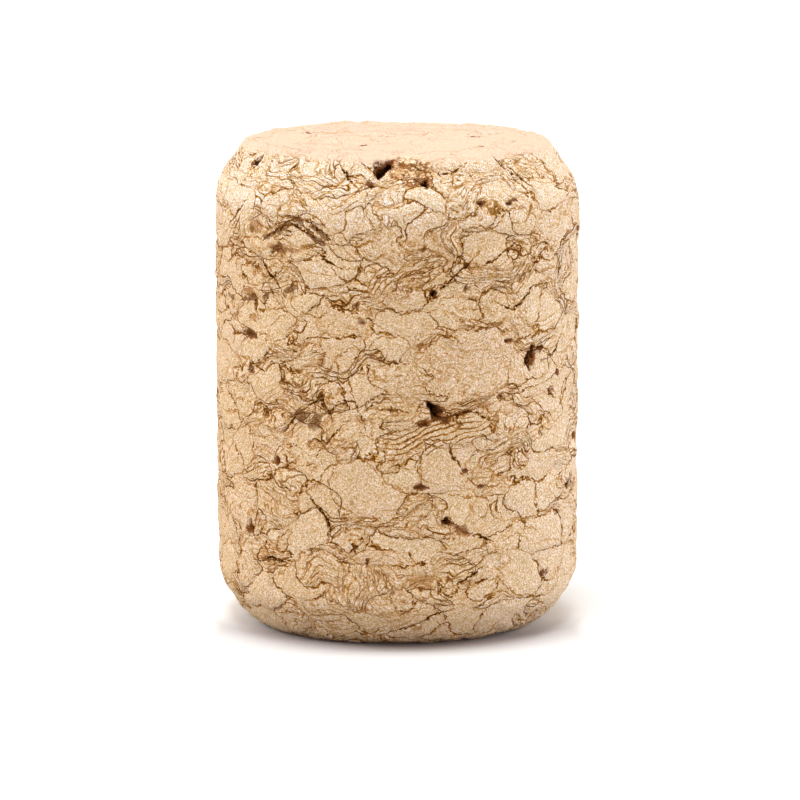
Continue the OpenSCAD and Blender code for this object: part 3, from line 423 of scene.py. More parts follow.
# Granules that stand out: azimuth, height, half length, half width, tilt, arch, growth, tone.
# Tilt is in degrees, rising towards +X; arch bows the granule up in its middle; growth is how
# strongly its growth lines show; tone runs from tan at 0 to cream at 1.
FRONT_GRANULES = [
    (-60, 30.5, 2.6, 1.2, 0, 0, 0.3, 0.65),
    (-44, 30.9, 1.4, 0.9, -10, 0, 0.6, 0.6),
    (-29, 30.8, 2.4, 1.1, -15, 0.02, 0.8, 0.6),
    (-44, 29.1, 1.2, 0.6, -5, 0, 0.3, 0.5),
    (-31, 28.9, 2, 0.5, -12, 0.05, 0.7, 0.5),
    (-21, 30, 1.6, 0.7, 25, 0, 0.6, 0.6),
    (-13, 31.2, 1.2, 0.8, -30, 0, 0.2, 0.6),
    (-8, 29.9, 0.8, 0.5, 0, 0, 0.2, 0.7),
    (-1, 29.9, 1.6, 0.6, 12, 0, 0.5, 0.5),
    (5, 31.1, 2, 0.7, 0, 0, 0.5, 0.35),
    (9.5, 29.6, 1.3, 0.6, 10, 0, 0.1, 0.75),
    (17, 31.5, 1.2, 0.6, 15, 0, 0.2, 0.7),
    (25, 30.6, 0.9, 0.5, 0, 0, 0.5, 0.65),
    (33, 30.7, 1.6, 0.8, 10, 0, 0.5, 0.6),
    (42, 30.3, 1.2, 0.7, -35, 0, 0.9, 0.55),
    (49, 30.6, 1.2, 0.9, -25, 0, 0.6, 0.6),
    (18.6, 29, 0.45, 0.22, 0, 0, 0, 0.7),
    (-60, 27.4, 1.3, 0.6, 40, 0, 0.5, 0.5),
    (-48, 27.4, 0.8, 0.7, 0, 0, 0.4, 0.35),
    (-15, 28.1, 1.5, 1, 30, 0, 0.12, 0.5),
    (-7.5, 28.5, 0.9, 0.3, 75, 0, 0.1, 0.6),
    (-2, 28.2, 1, 0.8, 60, 0, 0.7, 0.45),
    (7.8, 27.7, 1.3, 0.9, 0, 0, 0.15, 0.3),
    (17, 26.9, 1.2, 0.8, 80, 0, 0.4, 0.35),
    (28, 28.2, 1.8, 0.55, 8, 0, 0.2, 0.4),
    (30, 26.6, 2, 0.95, 5, 0, 0.1, 0.4),
    (43, 27.7, 1.5, 0.85, 0, 0, 0.1, 0.45),
    (55, 27.4, 1.4, 0.8, 0, 0, 0.2, 0.55),
    (-36, 27, 1.7, 0.35, 0, 0.12, 0.1, 0.55),
    (-39, 26, 1.2, 0.45, -5, 0, 0.8, 0.2),
    (-16, 25.9, 1.1, 0.55, -10, 0, 0.1, 0.65),
    (-27, 25.7, 1.5, 0.5, -12, 0, 0.8, 0.4),
    (-56, 25.4, 2.2, 0.4, 5, 0.03, 0.6, 0.5),
    (-41, 24.9, 1.1, 0.5, -20, 0, 0.6, 0.35),
    (-55, 24.3, 1.1, 0.45, 0, 0, 0.2, 0.55),
    (5.5, 26.1, 0.9, 0.45, 10, 0, 0.6, 0.45),
    (1, 25, 2.2, 0.4, 14, 0, 1, 0.45),
    (4, 24.2, 1.6, 0.3, 8, 0, 0.8, 0.45),
    (-9, 24.6, 1.2, 0.5, 50, 0, 0.8, 0.5),
    (14, 24.6, 1.4, 0.35, 22, 0, 0.9, 0.4),
    (44, 24.9, 1.8, 0.45, 30, 0, 1, 0.35),
    (35, 24.3, 1.5, 0.6, 20, 0, 0.7, 0.4),
    (53, 24.8, 0.8, 0.5, 0, 0, 0.2, 0.45),
    (40.5, 22.7, 1.6, 0.4, 5, -0.05, 0.3, 0.5),
    (-28, 22.7, 1.4, 0.6, -3, 0, 0.08, 0.75),
    (-42.5, 22.5, 0.9, 0.4, -5, 0, 0.3, 0.55),
    (-19, 23.6, 1.5, 0.5, -5, 0, 0.2, 0.6),
    (-35, 23.6, 0.7, 0.35, 15, 0, 0.8, 0.15),
    (-53, 22.9, 0.9, 0.5, 0, 0, 0.5, 0.2),
    (-64, 22.3, 1.3, 0.6, 0, 0, 0.3, 0.35),
    (0.5, 23.2, 2, 0.5, 0, 0, 0.15, 0.5),
    (1.5, 21.6, 1.9, 0.6, 0, 0, 0.1, 0.6),
    (32, 22, 1.6, 0.6, 5, 0, 0.15, 0.5),
    (57, 22.6, 1.6, 0.7, -30, 0, 0.6, 0.5),
    (-52, 19.3, 1.8, 0.55, 15, 0, 0.15, 0.65),
    (-18, 20, 1.4, 0.8, 10, 0, 0.08, 0.5),
    (-2.8, 19.95, 1.5, 0.75, 0, 0, 0.08, 0.8),
    (10, 20.4, 1.5, 0.3, 25, 0, 0.9, 0.4),
    (25, 19.2, 3.2, 1.9, 8, 0, 0.18, 0.55),
    (50, 20.2, 1.7, 0.5, 0, 0, 0.4, 0.5),
    (-30, 18.8, 1.4, 0.7, 20, 0, 0.9, 0.4),
    (7.6, 18.3, 0.9, 0.4, -25, 0, 0.1, 0.7),
    (-48.5, 16.9, 1.2, 1.1, 10, 0, 0.12, 0.65),
    (-8, 17.2, 1.4, 0.7, 0, 0, 0.08, 0.7),
    (4, 17.1, 1.5, 0.6, 0, 0, 0.15, 0.5),
    (52, 17.5, 1.9, 0.8, 5, 0, 0.12, 0.65),
    (24, 16.2, 1.1, 0.35, 5, 0, 0.7, 0.3),
    (31, 15.9, 0.7, 0.45, 10, 0, 0.1, 0.55),
    (37, 16.5, 0.9, 0.5, 0, 0, 0.7, 0.35),
    (57, 15.2, 1.9, 0.9, -10, 0, 0.15, 0.7),
    (-26, 15, 1.1, 0.7, 60, 0, 0.7, 0.25),
    (-31.5, 15.2, 0.6, 0.45, 30, 0, 0.3, 0.05),
    (-42, 14.8, 1.6, 0.3, 12, 0, 0.5, 0.5),
    (-1, 14.9, 1.8, 0.55, -5, 0, 0.5, 0.45),
    (-16, 14.1, 1.3, 0.5, 20, 0, 0.4, 0.5),
    (11, 14.2, 3.2, 0.45, 9, 0, 0, 0.45),
    (36, 14.6, 1.5, 0.5, 15, 0, 0.3, 0.7),
    (-12.5, 11.1, 2, 1.75, 0, 0, 0.05, 0.55),
    (1, 11.9, 1.2, 0.8, 0, 0, 0.1, 0.7),
    (13.5, 12.4, 1.3, 1.15, 0, 0, 0.08, 0.6),
    (-35, 12.6, 0.9, 0.45, 0, 0, 0.2, 0.55),
    (33, 12.5, 2.4, 0.55, 12, 0, 0.5, 0.5),
    (47, 11.9, 1.3, 0.5, 5, 0, 0.3, 0.35),
    (-40, 9.2, 2.6, 1.2, -15, 0.03, 0.3, 0.4),
    (-57, 9.2, 1.9, 1, 0, 0, 0.2, 0.55),
    (5, 8.8, 1.8, 0.35, 12, 0, 0.5, 0.45),
    (21, 9.3, 1.6, 0.8, 0, 0, 0.05, 0.8),
    (-13, 7.5, 0.9, 0.45, 10, 0, 0.2, 0.5),
    (2, 7.2, 2.1, 0.6, -8, 0, 0.06, 0.8),
    (33, 9.1, 0.9, 0.6, 80, 0, 0.1, 0.5),
    (43.5, 9.4, 1.5, 0.95, 0, 0, 0.08, 0.65),
    (57, 9.6, 2, 1, 0, 0, 0.15, 0.7),
    (-43, 6.1, 1.6, 0.35, 0, 0, 0.6, 0.4),
    (-11, 4.4, 1.5, 1.2, 70, 0, 0.5, 0.5),
    (5, 5.3, 2.2, 0.6, -5, 0, 0.3, 0.3),
    (26, 6.4, 1.3, 0.6, 0, 0, 0.3, 0.6),
    (41, 5, 1.9, 1.6, -10, 0, 0.06, 0.5),
    (57, 5, 1.8, 0.9, -5, 0, 0.15, 0.65),
    (-24, 2.7, 1.4, 0.6, 0, 0, 0.4, 0.5),
    (-10, 1.9, 1.6, 0.6, 0, 0, 0.2, 0.5),
    (30, 3, 1.8, 0.4, 8, 0, 0.4, 0.5),
]

# Tinted places: azimuth, height, half length, half width, tilt, grey bark, orange rust.
TINTS = [
    (-41, 27.1, 1.4, 0.22, 25, 1, 0), (-34, 27.75, 0.9, 0.2, 0, 0.9, 0),
    (-25.5, 26.85, 0.8, 0.26, -30, 1, 0.2), (-25, 27.35, 1.1, 0.15, -38, 0.9, 0),
    (-30, 28.05, 2.2, 0.13, -8, 0.8, 0), (-39, 26.1, 1.2, 0.4, -5, 0.7, 0.8),
    (-49, 27.3, 0.7, 0.6, 0, 0.3, 0.8), (-51.5, 27, 0.4, 0.3, 0, 0.7, 0.2),
    (-50.7, 24.3, 0.25, 0.3, 0, 0.3, 0.8), (-35, 23.6, 0.6, 0.3, 15, 1, 0), (-54, 23, 0.7, 0.3, 0, 0.5, 0.8),
    (-52, 22.5, 0.9, 0.25, 8, 0.8, 0.4), (-64, 22.3, 1, 0.4, 0, 0.6, 0.1),
    (-45.5, 22.8, 0.5, 0.25, 20, 0.8, 0.2), (-32, 26, 0.8, 0.3, -10, 0, 0.5),
    (-6, 31.2, 0.7, 0.4, 30, 0, 0.8), (4, 31.2, 1.7, 0.6, 0, 0, 0.3), (9, 31, 0.6, 0.5, 60, 0, 0.5),
    (7, 27.3, 1, 0.5, 0, 0.4, 0), (0, 23.8, 0.8, 0.2, 0, 0.2, 0.6), (22, 25.3, 0.5, 0.25, 30, 0.5, 0.8),
    (25.5, 25.2, 0.3, 0.12, -20, 0.2, 0.9), (23.5, 23.1, 0.8, 0.15, -5, 0.2, 0.8),
    (43, 24.2, 1.1, 0.4, 30, 0.5, 0.4), (48, 24.4, 0.25, 0.25, 0, 0.7, 0.5),
    (42, 26.5, 0.6, 0.15, 0, 0, 0.6), (42.5, 28.7, 0.5, 0.15, 0, 0, 0.7), (-52, 21.3, 0.5, 0.2, 0, 0.3, 0.8),
    (-63, 19.6, 0.3, 0.5, 0, 0.5, 0.3), (-60.5, 18.5, 0.6, 0.25, -20, 0.3, 0.4),
    (-54, 20.1, 1, 0.15, 0, 0.6, 0.4), (-33, 19.8, 0.8, 0.3, 0, 0, 0.5),
    (-24, 18.9, 0.5, 0.35, 40, 0.1, 0.7), (-31, 17, 0.4, 0.5, 0, 0.3, 0.7),
    (-31.8, 15.2, 0.55, 0.5, 30, 1, 0.4), (-26.5, 14.9, 0.9, 0.6, 60, 0.7, 0),
    (-37.5, 14.3, 0.4, 0.2, 30, 0.8, 0.2), (-23, 15.6, 0.5, 0.3, 20, 0.7, 0.6),
    (-11, 15.3, 0.45, 0.25, -30, 0.1, 1), (-18, 13.6, 1, 0.2, 0, 0, 0.6), (15, 15.4, 0.8, 0.2, -15, 0.2, 1),
    (8.5, 15, 0.6, 0.2, 0, 0.9, 0.1), (-2, 12.7, 0.7, 0.3, 0, 0.1, 0.6), (7.5, 20.1, 0.8, 0.25, 5, 0.3, 0.7),
    (41.3, 19.9, 0.5, 0.2, 0, 0.1, 0.9), (46, 18.7, 0.7, 0.5, 40, 0.3, 0.7),
    (55, 18.5, 1.1, 0.18, 5, 0.7, 0), (25, 16.1, 1.1, 0.3, -5, 0, 0.7), (37, 16.7, 0.6, 0.35, 0, 0, 0.6),
    (45, 12.5, 0.6, 0.3, 20, 0.3, 0.6), (-36, 11.8, 0.7, 0.2, 0, 0.2, 0.8),
    (-42, 12, 0.4, 0.15, 0, 0.7, 0.5), (-22, 18.3, 0.4, 0.4, 0, 0, 0.6), (-40, 9.5, 2, 0.7, -15, 0.1, 0.35),
    (-53, 7.3, 0.7, 0.35, 20, 0.5, 0.7), (-45, 5.3, 0.9, 0.15, 3, 0.1, 0.7), (-14, 9.8, 0.3, 0.3, 0, 0, 0.7),
    (20.8, 7.8, 0.5, 0.25, -30, 0.1, 1), (-5, 5.2, 1, 0.25, -35, 0.1, 0.6),
    (7.5, 4.7, 1.2, 0.4, 0, 0.2, 0.9), (8, 4.2, 0.6, 0.12, 0, 0.2, 1), (2.6, 3.3, 0.3, 0.15, 0, 0.1, 1),
    (-10.5, 2.8, 0.25, 0.3, 60, 0.1, 1), (-28, 2.8, 0.4, 0.15, 0, 0.1, 0.9),
    (-23.7, 2.3, 0.2, 0.15, 0, 0.1, 0.9), (-2, 1.3, 0.2, 0.12, 0, 0.2, 0.8), (24, 4.5, 1, 0.3, 15, 0, 0.5),
    (-16, 8.7, 0.4, 0.3, 0, 0, 0.6), (61, 8, 0.6, 0.25, 0, 0.6, 0.3), (54.5, 1.6, 0.3, 0.15, -30, 0.6, 0.2),
]

# The broken edge: the middle and half spread of the crumbs, as (azimuth, height).
BREAK_AT = (4.5, 31.2)
BREAK_REACH = (8, 0.55)

# ----------------------------------------
# The ground skin: a turned outline, walked by its run from the middle of the
# upper face, out over the edge, down the side and in to the middle below
# ----------------------------------------

ARC_STEPS = 12


def rounded_outline(corners):
    """(radius, height) points through corners of (radius, height, rounding). A corner gives way to the
    arc of its rounding that touches both sides, which starts rounding / tan(half angle) before it."""
    points = [corners[0][:2]]
    for before, at, after in zip(corners, corners[1:], corners[2:]):
        corner = np.array(at[:2], float)
        back = np.array(before[:2]) - corner
        ahead = np.array(after[:2]) - corner
        back = back / np.hypot(*back)
        ahead = ahead / np.hypot(*ahead)
        half = math.acos(float(back @ ahead)) / 2
        middle = corner + (back + ahead) / np.hypot(*(back + ahead)) * at[2] / math.sin(half)
        start = corner + back * at[2] / math.tan(half) - middle
        turn = -(math.pi - 2 * half) * np.linspace(0, 1, ARC_STEPS)
        points += [middle + (start[0] * math.cos(t) - start[1] * math.sin(t),
                             start[0] * math.sin(t) + start[1] * math.cos(t)) for t in turn]
    points.append(corners[-1][:2])
    return np.array(points, float)


OUTLINE = rounded_outline([
    (0, BODY_H),
    (BODY_R - CHAMFER_IN, BODY_H, UPPER_LIP_R),
    (BODY_R, BODY_H - CHAMFER_LEN, SHOULDER_R),
    (BODY_R, CHAMFER_LEN, SHOULDER_R),
    (BODY_R - CHAMFER_IN, 0, LOWER_LIP_R),
    (0, 0),
])
STRIDE = np.diff(OUTLINE, axis=0)
RUN = np.concatenate([[0], np.cumsum(np.hypot(STRIDE[:, 0], STRIDE[:, 1]))])
RUN_MIDDLE = (RUN[1:] + RUN[:-1]) / 2
HEADING = np.arctan2(STRIDE[:, 1], STRIDE[:, 0])
RUN_END = RUN[-1]


def run_at_height(height):
    """Run at which the outline passes a height on its way down from edge to edge."""
    side = slice(1, -1)
    return np.interp(-np.asarray(height, float), -OUTLINE[side, 1], RUN[side])


def skin(azimuth, run):
    """Point, outward, around and up directions of the skin, each with a last axis of 3.
    The point is radius * (sin, -cos) of the azimuth, with the outline's height; outward is the
    outline's heading turned a quarter, and up is the heading reversed."""
    angle = np.radians(azimuth)
    run = np.asarray(run, float)
    radius = np.interp(run, RUN, OUTLINE[:, 0])
    height = np.interp(run, RUN, OUTLINE[:, 1])
    heading = np.interp(run, RUN_MIDDLE, HEADING)
    sin, cos = np.sin(angle), np.cos(angle)
    flat = np.zeros_like(angle + run)
    radial = np.stack([sin + flat, -cos + flat, flat], -1)
    around = np.stack([cos + flat, sin + flat, flat], -1)
    axial = np.stack([flat, flat, flat + 1], -1)
    point = radial * (radius + flat)[..., None] + axial * (height + flat)[..., None]
    outward = radial * -np.sin(heading)[..., None] + axial * np.cos(heading)[..., None]
    up = radial * -np.cos(heading)[..., None] - axial * np.sin(heading)[..., None]
    return point, outward, around, up


def within(points, azimuth, run, reach):
    """Indices of the points closer than reach to a place on the skin."""
    return np.nonzero(np.linalg.norm(points - skin(np.float64(azimuth), run)[0], axis=1) < reach)[0]


def laid_on(points, azimuth, run, turn):
    """Positions of points in a frame laid on the skin at a place: how far along and how far across,
    when along is turned by that many degrees from around the body towards up."""
    middle, _, around, up = skin(np.float64(azimuth), run)
    away = points - middle
    x, y = away @ around, away @ up
    lean = math.radians(turn)
    return x * math.cos(lean) + y * math.sin(lean), y * math.cos(lean) - x * math.sin(lean)


def azimuth_of(points):
    return np.degrees(np.arctan2(points[:, 0], -points[:, 1]))


# ----------------------------------------
# Chance and rules that spread things evenly
# ----------------------------------------

# Steps of two additive sequences that never fall into rows, and of the golden section.
SCATTER_STEP = (0.7548777, 0.5698403)
GOLDEN_STEP = 0.618034

# The far side starts this many degrees either way from the front.
FAR_START = 68

RIPPLE_WAVES = 24
RIPPLE_PACE = (0.7, 1.5)
RIPPLE_PEAK = 1.6


def ripple(points, wavelength, seed):
    """Smooth noise of about -1 to 1: a sum of plane waves of like length in seeded directions."""
    draw = np.random.default_rng(seed)
    heading = draw.normal(size=(RIPPLE_WAVES, 3))
    heading /= np.linalg.norm(heading, axis=1)[:, None]
    pace = heading * (2 * math.pi / (wavelength * draw.uniform(*RIPPLE_PACE, RIPPLE_WAVES)))[:, None]
    phase = draw.uniform(0, 2 * math.pi, RIPPLE_WAVES)
    return np.cos(points @ pace.T + phase).sum(-1) * math.sqrt(2 / RIPPLE_WAVES) / RIPPLE_PEAK


def smooth_step(value, start, end):
    """0 before start, 1 past end, and 3t^2 - 2t^3 between them."""
    t = np.clip((value - start) / (end - start), 0, 1)
    return t * t * (3 - 2 * t)


def bell(distance, width):
    """1 in the middle, fading as exp(-(distance / width)^2)."""
    return np.exp(-(distance / width) ** 2)


def fraction(value):
    return value - np.floor(value)


def drawn(i, low, high):
    """Evenly spread values between low and high, by the golden section."""
    return low + (high - low) * fraction(0.5 + i * GOLDEN_STEP)


def scattered(i, offset, inset, below, above):
    """Azimuth and height of the place with number i on the far side, by the two additive sequences. It
    stays inset degrees inside the far side, and the lengths below and above from the two ends."""
    span = AROUND_TURN - 2 * (FAR_START + inset)
    azimuth = FAR_START + inset + span * fraction(offset + i * SCATTER_STEP[0])
    height = below + (BODY_H - below - above) * fraction(offset + i * SCATTER_STEP[1])
    return azimuth, height


# ----------------------------------------
# Granules
# ----------------------------------------

FILLERS = 620

# Every face knows this many granules, and they are looked for in blocks of so many points.
NEAREST = 3
BLOCK = 8000

# Growth lines stand this far apart and lean this much with depth. A granule is as thick as these
# shares of its length and its width together.
GROWTH_SPACING = 0.42
GROWTH_SLANT = 0.3
THICKNESS = (0.6, 0.4)

# Fillers are large, thin or middling by a chance between 0 and 1. Each pair is a low and a high.
LARGE_BELOW = 0.3
THIN_ABOVE = 0.72
LARGE_LONG, OTHER_LONG = (1.5, 2.3), (0.9, 1.6)
LARGE_SLIM, OTHER_SLIM, THIN_SLIM = (0.5, 0.75), (0.4, 0.65), (0.18, 0.3)
LARGE_GROWTH, OTHER_GROWTH = (0.02, 0.25), (0.1, 1)
ARCH = (-0.1, 0.1)
TILT_CHANCE = (-14, 14)
TILT_SWING = 32
TILT_WAVE = 9
FILLER_TONE = 0.5
LARGE_PALER = 0.12
THIN_DARKER = 0.1
TONE_CHANCE = 0.1
TONE_LIMITS = (0.05, 0.9)

# A filler gives way where its middle lies this far into a bigger one. The listed ones count as bigger.
COVERED = 0.92
LISTED_FIRST = 10


class Granules:
    """Bent ellipsoids set into the skin. Each row holds a middle, three directions (long, across, out),
    three half sizes, an arch, and how its inside looks."""

    def __init__(self, azimuth, run, long, across, tilt, arch, growth, tone):
        point, outward, around, up = skin(azimuth, run)
        lean = np.radians(tilt)[:, None]
        self.middle = point
        self.long = around * np.cos(lean) + up * np.sin(lean)
        self.across = up * np.cos(lean) - around * np.sin(lean)
        self.out = outward
        self.half = np.stack([long, across, THICKNESS[0] * long + THICKNESS[1] * across], -1)
        self.arch = arch
        self.growth = growth
        self.tone = tone

    def kept(self, mask):
        """The same granules without those that the mask leaves out."""
        other = object.__new__(Granules)
        other.__dict__ = {name: values[mask] for name, values in self.__dict__.items()}
        return other

    def joined(self, more):
        """These granules followed by more."""
        other = object.__new__(Granules)
        other.__dict__ = {name: np.concatenate([values, getattr(more, name)])
                          for name, values in self.__dict__.items()}
        return other

    def field(self, points, index):
        """Distance, its slope and the way across, from points to the granules of index. With u, v and w
        along the three directions, the distance is the length of (u / long, (v + arch * u^2) / across,
        w / out), which is 1 at the granule's own edge."""
        away = points[:, None, :] - self.middle[index]
        long, across, out = self.long[index], self.across[index], self.out[index]
        half, arch = self.half[index], self.arch[index]
        u = (away * long).sum(-1)
        v = (away * across).sum(-1) + arch * u * u
        w = (away * out).sum(-1)
        distance = np.sqrt((u / half[..., 0]) ** 2 + (v / half[..., 1]) ** 2 + (w / half[..., 2]) ** 2) + 1e-9
        slope = (long * (u / half[..., 0] ** 2)[..., None]
                 + (across + long * (2 * arch * u)[..., None]) * (v / half[..., 1] ** 2)[..., None]
                 + out * (w / half[..., 2] ** 2)[..., None]) / distance[..., None]
        return distance, slope, v + GROWTH_SLANT * w

    def nearest(self, points, count):
        """Indices of the count nearest granules to each point, in order of distance."""
        found = []
        for start in range(0, len(points), BLOCK):
            part = points[start:start + BLOCK]
            axes = self.long, self.across, self.out
            spans = [part @ axis.T - (self.middle * axis).sum(-1) for axis in axes]
            spans[1] = spans[1] + self.arch * spans[0] ** 2
            square = sum((span / self.half[:, k]) ** 2 for k, span in enumerate(spans))
            best = np.argpartition(square, count, axis=1)[:, :count]
            order = np.argsort(np.take_along_axis(square, best, 1), axis=1)
            found.append(np.take_along_axis(best, order, 1))
        return np.concatenate(found)


def fillers():
    """Granules spread evenly over the whole skin. They lie along a slowly turning grain."""
    draw = np.random.default_rng(SEED)
    i = np.arange(1, FILLERS + 1)
    azimuth = AROUND_TURN * fraction(i * SCATTER_STEP[0])
    area = np.concatenate([[0], np.cumsum(np.diff(RUN) * (OUTLINE[1:, 0] + OUTLINE[:-1, 0]))])
    run = np.interp(fraction(i * SCATTER_STEP[1]) * area[-1], area, RUN)
    kind = draw.uniform(size=FILLERS)
    large, thin = kind < LARGE_BELOW, kind > THIN_ABOVE

    def chosen(mask, one, other):
        return np.where(mask, draw.uniform(*one, FILLERS), draw.uniform(*other, FILLERS))

    long = chosen(large, LARGE_LONG, OTHER_LONG)
    slim = chosen(large, LARGE_SLIM, OTHER_SLIM)
    across = long * np.where(thin, draw.uniform(*THIN_SLIM, FILLERS), slim)
    swing = TILT_SWING * ripple(skin(azimuth, run)[0], TILT_WAVE, SEED + 1)
    tilt = swing + draw.uniform(*TILT_CHANCE, FILLERS)
    growth = chosen(large, LARGE_GROWTH, OTHER_GROWTH)
    tone = FILLER_TONE + LARGE_PALER * large - THIN_DARKER * thin + draw.normal(0, TONE_CHANCE, FILLERS)
    arch = draw.uniform(*ARCH, FILLERS)
    return Granules(azimuth, run, long, across, tilt, arch, growth, np.clip(tone, *TONE_LIMITS))


def pressed_granules():
    """The listed granules of the front, and those fillers that nothing bigger covers."""
    front = np.array(FRONT_GRANULES, float).T
    listed = Granules(front[0], run_at_height(front[1]), *front[2:])
    fill = fillers()
    everyone = listed.joined(fill)
    size = everyone.half[:, 0] * everyone.half[:, 1]
    size[:len(FRONT_GRANULES)] += LISTED_FIRST
    mine = size[len(FRONT_GRANULES):]
    reach = everyone.field(fill.middle, np.tile(np.arange(len(size)), (FILLERS, 1)))[0]
    clear = ~((reach < COVERED) & (size[None, :] > mine[:, None])).any(1)
    return listed.joined(fill.kept(clear))


# ----------------------------------------
# Routes on the skin
# ----------------------------------------

SAMPLE_STEP = 0.1
FEWEST_SAMPLES = 4
LINE_REACH = 0.6
LINE_END = 0.3
LINE_TAPER = 4

# Width and darkness of the lines that carry none of their own, and how far each kind crackles.
OPEN_SEAM = (0.165, 1)
FAR_BORDER = (0.1, 0.7)
SHARP_CRACKLE = 1
GROWTH_CRACKLE = 0.35

# The far side's lines: how many, where they start in the sequences, how far they stay from the edges
# of the far side and its two ends, and each one's half reach in degrees, rise and bow.
FAR_SEAMS = 30
FAR_SEAM_PLACES = (0.3, 5, 3.5, 3.5)
FAR_SEAM_REACH, FAR_SEAM_RISE, FAR_SEAM_BOW = (3, 7), (-1.1, 1.1), (-0.5, 0.5)
FAR_BORDERS = 32
FAR_BORDER_PLACES = (0.6, 0, 2.2, 2.2)
FAR_BORDER_REACH, FAR_BORDER_RISE, FAR_BORDER_BOW = (7, 13), (-0.9, 0.9), (0.5, 1.1)
BOW_AT = 0.4


def walked(route):
    """Azimuths and runs along a smooth curve through a route's points, about SAMPLE_STEP apart.
    Each stretch is the Catmull-Rom cubic of its four neighbours."""
    knot = np.array(route, float)
    knot[:, 1] = run_at_height(knot[:, 1])
    knot = np.vstack([2 * knot[0] - knot[1], knot, 2 * knot[-1] - knot[-2]])
    length = np.linalg.norm(np.diff(skin(knot[1:-1, 0], knot[1:-1, 1])[0], axis=0), axis=1).sum()
    stretches = len(route) - 1
    at = np.linspace(0, stretches, max(FEWEST_SAMPLES, int(length / SAMPLE_STEP)))
    i = np.minimum(at.astype(int), stretches - 1)
    t = (at - i)[:, None]
    a, b, c, d = knot[i], knot[i + 1], knot[i + 2], knot[i + 3]
    curve = b + 0.5 * t * (c - a + t * (2 * a - 5 * b + 4 * c - d + t * (3 * (b - c) + d - a)))
    return curve[:, 0], curve[:, 1]


class Line:
    """One route laid on the skin: its points, the direction to its side, and its taper."""

    def __init__(self, width, darkness, crackle, route):
        azimuth, run = walked(route)
        self.point, outward, _, _ = skin(azimuth, run)
        along = np.gradient(self.point, axis=0)
        along /= np.linalg.norm(along, axis=1)[:, None]
        self.side = np.cross(outward, along)
        share = np.linspace(0, 1, len(azimuth))
        self.taper = LINE_END + (1 - LINE_END) * np.minimum(1, LINE_TAPER * np.minimum(share, 1 - share))
        self.half = width / 2
        self.darkness = darkness
        self.crackle = crackle
        self.low = self.point.min(0) - LINE_REACH
        self.high = self.point.max(0) + LINE_REACH

    def near(self, points):
        """Indices of the points inside the box round the line."""
        return np.nonzero(((points > self.low) & (points < self.high)).all(1))[0]

    def nearest(self, points):
        """For each point, the nearest sample and its distance."""
        gap = ((points[:, None, :] - self.point) ** 2).sum(-1)
        best = gap.argmin(1)
        return best, np.sqrt(gap[np.arange(len(points)), best])


def far_seam_routes():
    """Open seams of the far side: each through three points, bowed in the middle."""
    i = np.arange(1, FAR_SEAMS + 1)
    azimuth, height = scattered(i, *FAR_SEAM_PLACES)
    reach = drawn(i, *FAR_SEAM_REACH)
    rise = drawn(i + 7, *FAR_SEAM_RISE)
    bow = drawn(i + 4, *FAR_SEAM_BOW)
    return [[(a - r, h - e), (a, h + b), (a + r, h + e)]
            for a, h, r, e, b in zip(azimuth, height, reach, rise, bow)]


def far_border_routes():
    """Borders of the far side: each through four points, bowed up and down in turn."""
    i = np.arange(1, FAR_BORDERS + 1)
    azimuth, height = scattered(i, *FAR_BORDER_PLACES)
    reach = drawn(i, *FAR_BORDER_REACH)
    rise = drawn(i + 3, *FAR_BORDER_RISE)
    bow = np.where(i % 2, -1, 1) * drawn(i + 6, *FAR_BORDER_BOW)
    return [[(a + r * part, h + e * part + b * (abs(part) < 1)) for part in (-1, -BOW_AT, BOW_AT, 1)]
            for a, h, r, e, b in zip(azimuth, height, reach, rise, bow)]


def drawn_lines():
    """Every line of the skin: open seams first, then borders and growth lines."""
    kinds = (
        (SHARP_CRACKLE, [(*OPEN_SEAM, route) for route in FRONT_SEAMS + far_seam_routes()]),
        (SHARP_CRACKLE, BORDERS + [(*FAR_BORDER, route) for route in far_border_routes()]),
        (GROWTH_CRACKLE, GROWTH),
    )
    return [Line(width, darkness, crackle, route)
            for crackle, rows in kinds for width, darkness, route in rows]


# ----------------------------------------
# Pits
# ----------------------------------------

CORNER_REACH = 0.24
PIT_RIPPLE = 0.07
RIPPLE_CORNERS = 5
RAGGED = 0.22
RAGGED_WAVE = 0.5

# The crumbs of the broken edge. Each pair is a low and a high.
CRUMBS = 13
CRUMB_LENGTH, CRUMB_WIDTH, CRUMB_DEPTH = (0.5, 0.9), (0.3, 0.5), (0.15, 0.25)
CRUMB_CORNERS = 3
CRUMB_TURN = 71

# The pits of the far side, and pairs of pits on the two end faces.
FAR_PITS = 30
FAR_PIT_PLACES = (0, 0, 1.5, 1.2)
FAR_PIT_LENGTH = (0.4, 1.4)
FAR_PIT_SLIM = (0.4, 0.7)
FAR_PIT_DEPTH = (0.3, 0.5)      # for no length, and more for each millimetre
FAR_PIT_CORNERS = (2, 3, 4)
FAR_PIT_TURN = 47
FACE_PAIRS = 6
FACE_PIT_START = 20
FACE_PIT_RADIUS = (2.5, 8.0)
FACE_PIT_LENGTH = (0.4, 0.9)
FACE_PIT_SLIM = 0.5
FACE_PIT_DEPTHS = (0.4, 0.5)
FACE_PIT_CORNERS = 3
FACE_PIT_TURN = 40
LOWER_PIT_SHIFT = 30
LOWER_PIT_GAIN = 1.2


